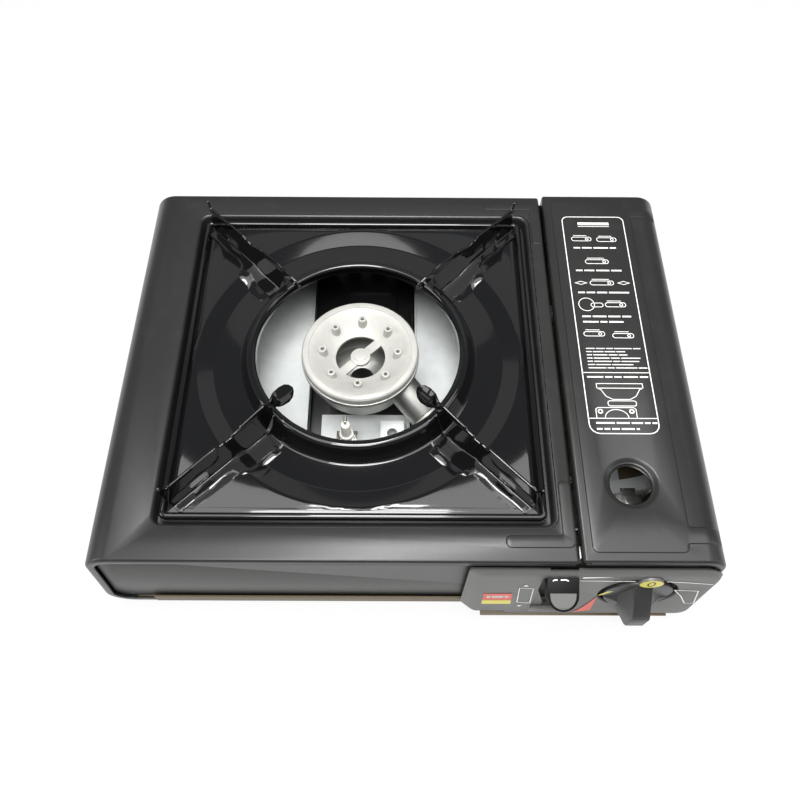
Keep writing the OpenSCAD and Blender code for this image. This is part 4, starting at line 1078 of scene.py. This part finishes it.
def make_housing():
    """The control housing's skin, with the lever's slot and the knob's pocket."""
    shell = Shell()
    back, face = shell.edge()
    outer = outline(back)
    inner = outline(face)
    inset = outline(face, -2.0)
    made = Mesh()

    def wall(share, a, b):
        """A place at a share of the way from the skin's back edge to its face."""
        at = a + (b - a) * share
        return Vector((at.x, shell.back + (shell.depth(b.y) - shell.back) * share, at.y))

    loops = []
    for share in (0.0, 0.3, 0.62):
        loops.append([wall(share, a, b) for a, b in zip(outer, inner)])
    # the rounded edge between wall and face, in steps
    for t in (k / 5 for k in range(6)):
        ring = []
        for a, b, c in zip(outer, inner, inset):
            start, mid, end = wall(0.7, a, b), shell.at(*b), shell.at(*c)
            ring.append(start * (1 - t) ** 2 + mid * 2 * t * (1 - t) + end * t * t)
        loops.append(ring)
    strips = [made.add(loop) for loop in loops]
    for row, (a, b) in enumerate(zip(strips, strips[1:])):
        for i in range(len(a)):
            j = (i + 1) % len(a)
            here, there = made.points[a[i]], made.points[a[j]]
            on_top = here.z > TOP - 14 and abs(here.x - there.x) > 8
            if row == 0 and on_top and TOP_GAP[0] < (here.x + there.x) / 2 < TOP_GAP[1]:
                continue
            made.faces.append((a[i], a[j], b[j], b[i]))
    slot_line = outline(SLOT)
    pocket = circle(KNOB_X, KNOB_Z, POCKET_R, 96)
    knob_at = Vector((KNOB_X, KNOB_Z))

    def pocket_ring(shrink, y=None):
        """The pocket's line, drawn in towards its middle: behind the face, or level at y."""
        ring = []
        for p in pocket:
            at = knob_at + (p - knob_at) * shrink
            ring.append(Vector((at.x, shell.depth(p.y) + POCKET_LIP if y is None else y, at.y)))
        return ring

    lip = [shell.at(*p) for p in pocket]
    slot_front = [shell.at(*p) for p in slot_line]
    made.fill(loops[-1], slot_front, lip)
    made.skin(lip, pocket_ring(0.985))
    made.skin(slot_front, [shell.at(*p, SLOT_DEEP) for p in slot_line])
    piece = made.object("housing_shell", "stove", shell.wall * 0.9, 0.25, 35.0)
    # the knob's pocket: a black well of painted shade for the dark inside of the recess in the
    # housing's plastic
    floor = housing_low.y + POCKET_DEEP
    well = Mesh()
    well.skin(pocket_ring(0.97), pocket_ring(0.97, floor - 0.4), pocket_ring(0.95, floor),
              pocket_ring(0.22, floor))
    cup = well.object("housing_pocket", "stove", 0.8, 0.1, 35.0)
    dress(cup, "pocket_black", "housing_plastic")
    wedge = Mesh()
    wedge.fill([shell.at(x, z, SLOT_DEEP - 0.2) for x, z in CHEEK])
    cheek = wedge.object("slot_cheek", "stove", 0.8, 0.15)
    dress(cheek, "housing_plastic", "housing_plastic")
    return dress(piece, "housing_plastic", "housing_plastic", "control_housing")


# the lever's tongue: its fall, its round end's radius, and how far its root lies below the cover
FALL = math.radians(29)
TONGUE_R = 8
TONGUE_ROOT = 12.8


def make_lever():
    """The lever's moulded tongue, with a lighter plate on its lower part that is a painted
    reflection on its dark plastic.
    """
    piece = finished("lock_lever", "lever", "lever_plastic", "knob_plastic", 0.5, 35.0)
    x = (lever_low.x + lever_high.x) / 2
    end_y = lever_low.y + TONGUE_R * math.cos(FALL)
    end_z = TOP - TONGUE_ROOT - (FRONT - 3.6 - end_y) * math.tan(FALL)

    def on_tongue(across, back, up=0.0):
        """A place on the sloping tongue, from the middle of its round end."""
        along = Vector((0, math.cos(FALL), math.sin(FALL)))
        above = Vector((0, -math.sin(FALL), math.cos(FALL)))
        return Vector((x + across, end_y, end_z)) + along * back + above * up

    half_w, round_end, straight = 6.6, 6.9, 1.4
    line = oval(0, 0, half_w, round_end, 64)[32:]
    line += [Vector(p) for p in ((half_w, 0), (half_w, straight), (-half_w, straight))]
    # a thin grey skin over the tongue's front: painted reflection, the lever itself being dark
    # plastic
    plate = Mesh()
    loops = []
    for up, share in ((-0.3, 1.0), (0.1, 1.0), (0.3, 0.965)):
        loops.append([on_tongue(a * share, b * share, up) for a, b in line])
    plate.skin(*loops)
    plate.fill(loops[-1])
    dress(plate.object("lever_painted_reflection_face", "lever", 0.0, 0.0, 40.0), "lever_grey", "knob_plastic")
    marks = Print(lambda a, b: on_tongue(a, b, 0.05))
    marks.line([(-5.4, 7.6), (-4.6, 8.2), (-3.0, 8.2)], 0.6)
    marks.line([(-1.4, 8.2), (1.4, 8.3), (2.6, 7.6)], 0.6)
    marks.object("lever_marks", "lever", "white_ink")
    return piece


# ---------------------------------------------------------- printed marks


# the thickness of the ink
INK_MM = 0.03
# how proud the mark above the knob stands on its small tab
TAB_UP = 1.3


class Print:
    """Flat marks, laid on a surface by place(across, up)."""

    def __init__(self, place):
        self.place = place
        self.mesh = Mesh()

    def line(self, points, width, closed=False):
        """A line of even width through points, with mitred corners."""
        points = [Vector(p[:2]) for p in points]
        edges = ([], [])
        last = len(points) - 1
        for i, at in enumerate(points):
            before = points[i - 1] if i or closed else at
            after = points[(i + 1) % len(points)] if i < last or closed else at
            ways = [w.normalized() for w in (at - before, after - at) if w.length > 1e-6]
            out = sum((Vector((w.y, -w.x)) for w in ways), Vector((0, 0)))
            out.normalize()
            reach = width / 2 / max(out.dot(Vector((ways[0].y, -ways[0].x))), 0.4)
            edges[0].append(self.place(*(at - out * reach)))
            edges[1].append(self.place(*(at + out * reach)))
        self.mesh.skin(*edges, closed=closed)

    def patch(self, points):
        """A filled area, fine enough to follow its surface."""
        points = [Vector(p[:2]) for p in points]
        index = self.mesh.add([self.place(*p) for p in points])
        flat = [[(p.x, p.y, 0.0) for p in points]]
        for triangle in geometry.tessellate_polygon(flat):
            self.mesh.faces.append(tuple(index[i] for i in triangle))

    def dashes(self, x0, x1, y, height, lengths, gap=1.1):
        """A row of short bars from x0 to no further than x1."""
        x = x0
        low, high = y - height / 2, y + height / 2
        for length in lengths:
            end = min(x + length, x1)
            if end - x > 0.6:
                self.patch([(x, low), (end, low), (end, high), (x, high)])
            x = end + gap

    def shape(self, corners, width):
        """The line round corners, each with its radius."""
        self.line(outline(corners, 0.0, 4), width, closed=True)

    def ring(self, x, y, radius, width):
        """A line round a circle."""
        self.line(circle(x, y, radius, 28), width, closed=True)

    def object(self, name, body, finish):
        """The finished marks, riding on their body."""
        piece = self.mesh.raw(name)
        settle(piece, INK_MM)
        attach(piece, body)
        return dress(piece, finish)


# rows of bars on the lid: (left, right, y, their lengths), then small rows that start at one x
BARS = (
    (130.0, 156, 76.2, (4, 6, 9, 10)), (129.5, 157, 58.6, (4, 6, 8, 10)),
    (129.0, 160, 42.1, (4, 5, 6, 12)), (129.5, 158, 24.8, (5, 8, 7, 6)),
    (129.5, 153, 21.0, (9, 4, 10)),
)
SMALL_BARS = (
    (160, (5, 5, 4, 10, 7)), (151, (3, 6, 6, 5)), (152, (3, 8, 5, 8)), (163, (3, 9, 5, 11)),
    (161, (3, 10, 4, 10)), (156, (4, 8, 12)), (162, (10, 4, 12, 6)),
)
# long rounded boxes on the lid: the middle and the width
BOXES = (
    (135.5, 83.2, 12), (151, 82.8, 12), (143, 65.4, 14), (144, 49.2, 14),
    (150, 33.2, 12), (135, 12.6, 12), (151.5, 11.4, 12),
)


def print_lid():
    """The white frame printed on the lid: rules and plain outlines, with no words."""
    top = LID_TOP + RIB_UP + INK_MM
    sheet = Print(lambda x, y: Vector((x, y, top)))
    thin = 0.42
    border = [(125.2, -51.4, 5.5), (162.7, -51.4, 5.5), (163.4, 101.2, 3.5), (125.0, 101.2, 3.5)]
    sheet.shape(border, 0.55)
    sheet.line([(125.2, -13.4), (163.0, -13.4)], 0.45)
    sheet.line([(125.2, -42.2), (162.8, -42.2)], 0.45)
    sheet.dashes(134.5, 154, 95.6, 2.1, (19.5,))
    sheet.dashes(134.5, 154, 93.4, 0.4, (19.5,))
    for x0, x1, y, lengths in BARS:
        sheet.dashes(x0, x1, y, 1.05, lengths)
    for row, (x1, lengths) in enumerate(SMALL_BARS):
        sheet.dashes(129, x1, 2.6 - 2.15 * row, 0.6, lengths, 0.7)
    for x, y, width in BOXES:
        sheet.shape(rounded(x - width / 2, y - 1.5, x + width / 2, y + 1.5, 1.4), thin)
        sheet.ring(x + width / 2 - 2.6, y, 0.85, thin)
        sheet.line([(x - width / 2 + 1.2, y + 2.7), (x + width / 2 - 2.5, y + 2.7)], thin)
    sheet.ring(133, 33.4, 4.6, thin)
    sheet.shape(rounded(135.6, 31.6, 142.6, 34.4, 1.3), thin)
    for x in (131.5, 157):
        sheet.line([(x - 3.4, 49.2), (x, 50.4), (x + 3.4, 49.2), (x, 48.0)], thin, closed=True)
    sheet.dashes(127.5, 161.5, -16.2, 0.9, (9, 4, 4, 8, 6))
    bowl = [
        (132, -20.5), (157.5, -20.5), (157.5, -23.4), (155.6, -24.2), (153, -28.5), (149.5, -30.5),
        (140, -30.5), (136.5, -28.5), (134, -24.2), (132, -23.4)]
    sheet.line(bowl, thin, closed=True)
    sheet.line([(132, -23.4), (157.5, -23.4)], thin)
    sheet.shape(rounded(137, -34.6, 152.5, -31.4, 1.2), thin)
    body = [
        (129.8, -42), (129.8, -36.6), (131, -35.6), (150.5, -35.6), (151.7, -36.6), (151.7, -42)]
    sheet.line(body, thin)
    sheet.line(oval(140.8, -42, 6.4, 5.2, 28)[:15], thin)
    for x in (132.2, 149.3):
        sheet.ring(x, -37.9, 1.1, 0.7)
    sheet.dashes(129, 162, -45.0, 1.0, (10, 7, 6, 3, 6))
    sheet.dashes(129, 152, -48.6, 1.0, (3, 3, 4, 7, 6))
    return sheet.object("lid_print", "lid", "white_ink")


def print_housing():
    """The coloured marks on the control housing's face, with no words."""
    shell = Shell()
    white = Print(shell.face)
    white.line([(115.4, 65.9), (144.0, 65.3)], 0.75)
    white.line([(159.9, 65.2), (172.0, 63.6), (185.0, 61.2)], 0.75)
    # a white tapered streak along the bend under the rounded top edge, drawn with the white marks
    white.patch([(116.0, 69.4), (122.0, 70.2), (131.0, 71.4), (124.0, 71.6), (116.0, 71.5)])
    white.shape([(88.0, 30.6, 0.6), (95.2, 29.4, 0.6), (93.6, 53.4, 0.6), (86.2, 54.4, 0.6)], 0.5)
    white.patch([(87.6, 57.0), (90.6, 57.0), (89.1, 59.4)])
    white.patch([(88.6, 25.4), (91.6, 25.4), (90.1, 23.0)])
    fan = [(168.0, 52.0), (181.0, 50.6), (185.2, 30.0), (180.0, 30.4), (174.5, 42.0)]
    white.line(fan, 0.6, closed=True)
    white.dashes(70.4, 82.4, 39.6, 3.4, (2.2, 6.4, 2.2), 0.6)
    white.object("housing_white_print", "stove", "white_ink")
    red = Print(shell.face)
    red.patch([(68.6, 34.4), (84.3, 34.4), (83.8, 45.0), (68.4, 45.0)])
    shares = [i / 8 for i in range(9)]
    sweep = [(121.2 + 8.4 * t ** 0.6, 13.0 + 27.0 * t) for t in shares]
    sweep += [(131.2 - 1.2 * t, 13.0 + 27.4 * t) for t in reversed(shares[1:])]
    red.patch(sweep)
    red.object("housing_red_print", "stove", "red_ink")
    yellow = Print(shell.face)
    yellow.patch([(68.8, 27.6), (84.7, 27.6), (84.4, 33.9), (68.6, 33.9)])
    yellow.patch([(129.4, 43.0), (131.5, 43.4), (139.4, 53.2), (139.0, 54.6), (133.5, 49.8)])
    mark = (151.9, 65.2)
    tab = Mesh()
    tab_line = oval(*mark, 6.3, 5.5, 40)
    low, high = [[shell.face(*p, proud) for p in tab_line] for proud in (-0.6, TAB_UP)]
    tab.skin(low, high)
    tab.fill(high)
    tab_piece = tab.object("housing_mark_tab", "stove", 0.0, 0.15, 40.0)
    dress(tab_piece, "housing_plastic", "housing_plastic")
    above = Print(lambda x, z: shell.face(x, z, TAB_UP + 0.12))
    above.patch(oval(*mark, 6.0, 5.2))
    above.object("housing_oval_print", "stove", "oval_ink")
    yellow.object("housing_yellow_print", "stove", "yellow_ink")
    dark = Print(lambda x, z: shell.face(x, z, TAB_UP + 0.2))
    dark.line(oval(*mark, 1.7, 2.9, 20), 0.7, closed=True)
    dark.object("housing_dark_print", "stove", "dark_ink")


# ---------------------------------------------------------- the sidebar's settings and buttons


class StoveFinish(bpy.types.PropertyGroup):
    """The colours of the stove's main pieces"""

    paint: bpy.props.IntVectorProperty(
        name="Paint", description="Colour of the cover and lid, 0 to 255",
        default=(38, 38, 37), min=0, max=255)
    enamel: bpy.props.IntVectorProperty(
        name="Enamel", description="Colour of the pan and its supports, 0 to 255",
        default=(10, 10, 11), min=0, max=255)
    housing: bpy.props.IntVectorProperty(
        name="Housing", description="Colour of the control housing, 0 to 255",
        default=(104, 104, 102), min=0, max=255)
    knob: bpy.props.IntVectorProperty(
        name="Knob", description="Colour of the knob, 0 to 255",
        default=(44, 44, 43), min=0, max=255)


class StoveStudio(bpy.types.PropertyGroup):
    """How brightly the studio is lit"""

    key: bpy.props.FloatProperty(
        name="Key power", description="Power that the lamps share out",
        default=9.0, min=0.0, unit="POWER")
    room: bpy.props.FloatProperty(
        name="Room light", description="Strength of the light from all round",
        default=0.2, min=0.0)


class STOVE_OT_cover(bpy.types.Operator):
    """Fold the cover and its pan opening"""

    bl_idname = "stove.cover"
    bl_label = "Cover"

    def execute(self, context):
        make_cover()
        return {"FINISHED"}


class STOVE_OT_lid(bpy.types.Operator):
    """Fold the lid over the cartridge bay"""

    bl_idname = "stove.lid"
    bl_label = "Lid"

    def execute(self, context):
        make_lid()
        print_lid()
        return {"FINISHED"}


class STOVE_OT_pan(bpy.types.Operator):
    """Press the enamelled pan and round its supports"""

    bl_idname = "stove.pan"
    bl_label = "Drip pan and supports"

    def execute(self, context):
        make_pan()
        for spot, angle, side in SUPPORTS:
            make_arm(spot, angle, side)
        return {"FINISHED"}


class STOVE_OT_body(bpy.types.Operator):
    """Finish the base, the end panels, the side panel and the feet"""

    bl_idname = "stove.body"
    bl_label = "Base and panels"

    def execute(self, context):
        # the base's olive-brown tone is partly a painted warm reflection
        finished("base_pan", "base_tray", "base_paint", "base_paint")
        finished("front_panel", "front_plate", "panel_paint", "panel_grey_paint")
        finished("rear_panel", "rear_plate", "satin_paint", "satin_black_paint")
        finished("side_panel", "side_plate", "satin_paint", "satin_black_paint")
        finished("rubber_feet", "feet", "rubber", "rubber", 0.4)
        return {"FINISHED"}


class STOVE_OT_burner(bpy.types.Operator):
    """Finish the burner, its tube, bridge and shields"""

    bl_idname = "stove.burner"
    bl_label = "Burner"

    def execute(self, context):
        finished("burner_cap", "burner_crown", "cap_metal", "burner_aluminium", 0.2)
        finished("burner_body", "burner_bowl", "cast_metal", "cast_metal", 0.3)
        finished("mixing_tube", "gas_tube", "tube_metal", "burner_aluminium", 0.2)
        finished("burner_bridge", "bridge_plate", "heatproof_paint", "black_heatproof_paint", 0.35)
        finished("heat_shield_left", "shield_left", "galvanised", "galvanised_steel")
        finished("heat_shield_right", "shield_right", "galvanised", "galvanised_steel")
        finished("burner_plate", "carrier_plate", "galvanised", "bright_steel")
        finished("jet_nozzle", "gas_jet", "brass", "brass", 0.15)
        finished("gas_pipe", "gas_line", "bright_plate", "bright_steel", 0.0)
        return {"FINISHED"}


class STOVE_OT_igniter(bpy.types.Operator):
    """Finish the electrode, its bracket and the igniter"""

    bl_idname = "stove.igniter"
    bl_label = "Igniter"

    def execute(self, context):
        finished("electrode_bracket", "spark_bracket", "bright_plate", "bright_steel", 0.2)
        finished("electrode_ceramic", "spark_insulator", "ceramic", "ceramic", 0.15)
        finished("electrode_pin", "spark_pin", "bright_plate", "bright_steel", 0.0)
        finished("electrode_nut", "spark_nut", "bright_plate", "bright_steel", 0.2)
        finished("ignition_lead", "spark_lead", "sleeve", "lead_sleeve", 0.0, 60.0)
        finished("piezo_housing", "igniter_block", "cream_plastic", "igniter_plastic", 0.4)
        finished("piezo_plunger", "igniter_plunger", "bright_plate", "bright_steel", 0.1)
        return {"FINISHED"}


class STOVE_OT_controls(bpy.types.Operator):
    """Make the control housing, knob and lock lever"""

    bl_idname = "stove.controls"
    bl_label = "Controls"

    def execute(self, context):
        make_housing()
        print_housing()
        finished("knob", "gas_knob", "knob_plastic", "knob_plastic", 0.5, 35.0)
        finished("knob_spindle", "gas_spindle", "bright_plate", "bright_steel", 0.2)
        finished("ignition_cam", "igniter_cam", "knob_plastic", "knob_plastic", 0.2)
        make_lever()
        finished("lock_fork", "fork", "bright_plate", "bright_steel", 0.2)
        return {"FINISHED"}


class STOVE_OT_bay(bpy.types.Operator):
    """Finish what is inside the cartridge bay"""

    bl_idname = "stove.bay"
    bl_label = "Cartridge bay"

    def execute(self, context):
        finished("bay_partition", "bay_wall", "galvanised", "galvanised_steel", 0.2)
        finished("cartridge_cradle", "cradle", "galvanised", "galvanised_steel", 0.2)
        finished("regulator_body", "regulator", "cast_metal", "cast_metal", 0.3)
        finished("regulator_bonnet", "bonnet", "cast_metal", "cast_metal", 0.3)
        finished("regulator_screws", "bonnet_screws", "bright_plate", "bright_steel", 0.1)
        finished("gas_seal", "inlet_seal", "rubber", "rubber", 0.2)
        finished("locating_plate", "locator", "bright_plate", "bright_steel", 0.15)
        finished("locating_screw", "locator_screw", "brass", "brass", 0.2)
        finished("lid_catch", "catch", "cast_metal", "bright_steel", 0.15)
        finished("lid_hinge_pins", "hinge_pins", "bright_plate", "bright_steel", 0.2)
        return {"FINISHED"}


# how the photograph was taken: the camera's place from the opening's middle, with its height from
# the cover's top, its turn in degrees, and its focal length in the image's pixels
CAMERA_AT = Vector((21.83, -231.18, 363.77))
CAMERA_DOWN = 61.096
CAMERA_YAW = -0.434
CAMERA_ROLL = 0.679
FOCAL_PIXELS = 755.65
IMAGE_PIXELS = 800.0

# each lamp: its place, its target and its size in metres, and its share of the key power
MIDDLE = (0, 0, 0.08)
LAMPS = {
    "overhead": ((0.2, -0.12, 1.1), (0.2, -0.12, 0.0), (1.5, 0.86), 1.3),
    "overhead_back": ((0.0, 0.95, 1.1), (0.0, 0.95, 0.0), (1.6, 0.5), 0.08),
    "front_top": ((-0.1, -0.5, 1.3), MIDDLE, (0.5, 0.4), 0.8),
    "burner_top": ((-0.03, 0.0, 0.75), MIDDLE, (0.2, 0.2), 0.24),
    "left_fill": ((-1.1, -0.3, 0.6), MIDDLE, (0.5, 0.9), 0.5),
    "right_fill": ((1.1, -0.2, 0.5), MIDDLE, (0.4, 0.8), 0.15),
}

# how far the floor reaches from the middle, in metres, and how much of it looks plain white
FLOOR_REACH = 4.0
WHITENESS = 0.88


def studio_camera(scene):
    """A camera where the photograph was taken from."""
    data = bpy.data.cameras.new("studio_camera")
    data.sensor_width = 36.0
    data.lens = data.sensor_width * FOCAL_PIXELS / IMAGE_PIXELS
    data.clip_start = 0.01
    data.clip_end = 20
    camera = linked("studio_camera", data)
    down = math.radians(CAMERA_DOWN)
    right = Vector((1, 0, 0))
    ahead = Vector((0, math.cos(down), -math.sin(down)))
    up = Vector((0, math.sin(down), math.cos(down)))
    yaw = Matrix.Rotation(math.radians(CAMERA_YAW), 3, "Z")
    right, ahead, up = yaw @ right, yaw @ ahead, yaw @ up
    roll = math.radians(CAMERA_ROLL)
    side = right * math.cos(roll) + up * math.sin(roll)
    head = up * math.cos(roll) - right * math.sin(roll)
    turn = Matrix((side, head, -ahead)).transposed().to_4x4()
    place = placed((CAMERA_AT.x, CAMERA_AT.y, TOP + CAMERA_AT.z))
    camera.matrix_world = Matrix.Translation(place) @ turn
    scene.camera = camera


def soft_light(name, place, target, size, power):
    """A soft lamp of a size in metres, turned to its target."""
    data = bpy.data.lights.new(name, "AREA")
    data.shape = "RECTANGLE"
    data.size, data.size_y = size
    data.energy = power
    light = linked(name, data)
    light.location = place
    light.rotation_mode = "QUATERNION"
    light.rotation_quaternion = (Vector(target) - Vector(place)).to_track_quat("-Z", "Y")


def studio_floor():
    """A pale floor that looks nearly white, and keeps the stove's shadow."""
    finish = Finish("studio_floor")
    finish.set(Base_Color=(0.86, 0.86, 0.86, 1.0), Roughness=0.9)
    seen = finish.rays("Camera", "Glossy", "Transmission") * WHITENESS
    glow = finish.add("ShaderNodeEmission", None, {"Color": (1, 1, 1, 1), "Strength": 1.0})
    mixed = finish.add("ShaderNodeMixShader", None, {0: seen, 1: finish.surface, 2: glow})
    mesh = bpy.data.meshes.new("studio_floor")
    x, y = FLOOR_REACH, FLOOR_REACH
    mesh.from_pydata([(-x, -y, 0), (x, -y, 0), (x, y, 0), (-x, y, 0)], [], [(0, 1, 2, 3)])
    mesh.materials.append(finish.shown(mixed))
    floor = linked("studio_floor", mesh)


def studio_room(scene, strength):
    """Dim light from all round, which the camera sees as white."""
    scene.world = bpy.data.worlds.new("studio_room")
    room = Nodes(scene.world)
    dim = room.add("ShaderNodeBackground", None, {0: (0.93, 0.96, 1.0, 1), 1: strength})
    white = room.add("ShaderNodeBackground", None, {0: (1, 1, 1, 1), 1: 1.0})
    mixed = room.add("ShaderNodeMixShader", None, {0: room.rays("Camera"), 1: dim, 2: white})
    room.add("ShaderNodeOutputWorld", None, {0: mixed})


class STOVE_OT_stage(bpy.types.Operator):
    """Set the floor, the lights and the camera"""

    bl_idname = "stove.stage"
    bl_label = "Studio"

    def execute(self, context):
        scene = context.scene
        scene.view_settings.view_transform = "Standard"
        studio_floor()
        studio_room(scene, scene.stove_studio.room)
        for name, (place, target, size, share) in LAMPS.items():
            soft_light(name, place, target, size, scene.stove_studio.key * share)
        studio_camera(scene)
        return {"FINISHED"}


class STOVE_PT_panel(bpy.types.Panel):
    """The settings, and a button for each step"""

    bl_label = "Stove"
    bl_idname = "STOVE_PT_panel"
    bl_space_type = "VIEW_3D"
    bl_region_type = "UI"
    bl_category = "Stove"

    def draw(self, context):
        layout = self.layout
        for group in (context.scene.stove_finish, context.scene.stove_studio):
            for name in group.__annotations__:
                layout.prop(group, name)
        for step in STEPS:
            layout.operator(step.bl_idname)


STEPS = (
    STOVE_OT_cover, STOVE_OT_lid, STOVE_OT_pan, STOVE_OT_body, STOVE_OT_burner,
    STOVE_OT_igniter, STOVE_OT_controls, STOVE_OT_bay, STOVE_OT_stage,
)
CLASSES = (StoveFinish, StoveStudio, *STEPS, STOVE_PT_panel)


def register():
    """Adds the settings, the steps and the panel."""
    for kind in CLASSES:
        bpy.utils.register_class(kind)
    bpy.types.Scene.stove_finish = bpy.props.PointerProperty(type=StoveFinish)
    bpy.types.Scene.stove_studio = bpy.props.PointerProperty(type=StoveStudio)


def unregister():
    """Takes them away again."""
    del bpy.types.Scene.stove_studio
    del bpy.types.Scene.stove_finish
    for kind in reversed(CLASSES):
        bpy.utils.unregister_class(kind)


def main():
    """Registers the steps and runs them in order."""
    register()
    for step in STEPS:
        group, name = step.bl_idname.split(".")
        getattr(getattr(bpy.ops, group), name)()


if __name__ == "__main__":
    main()
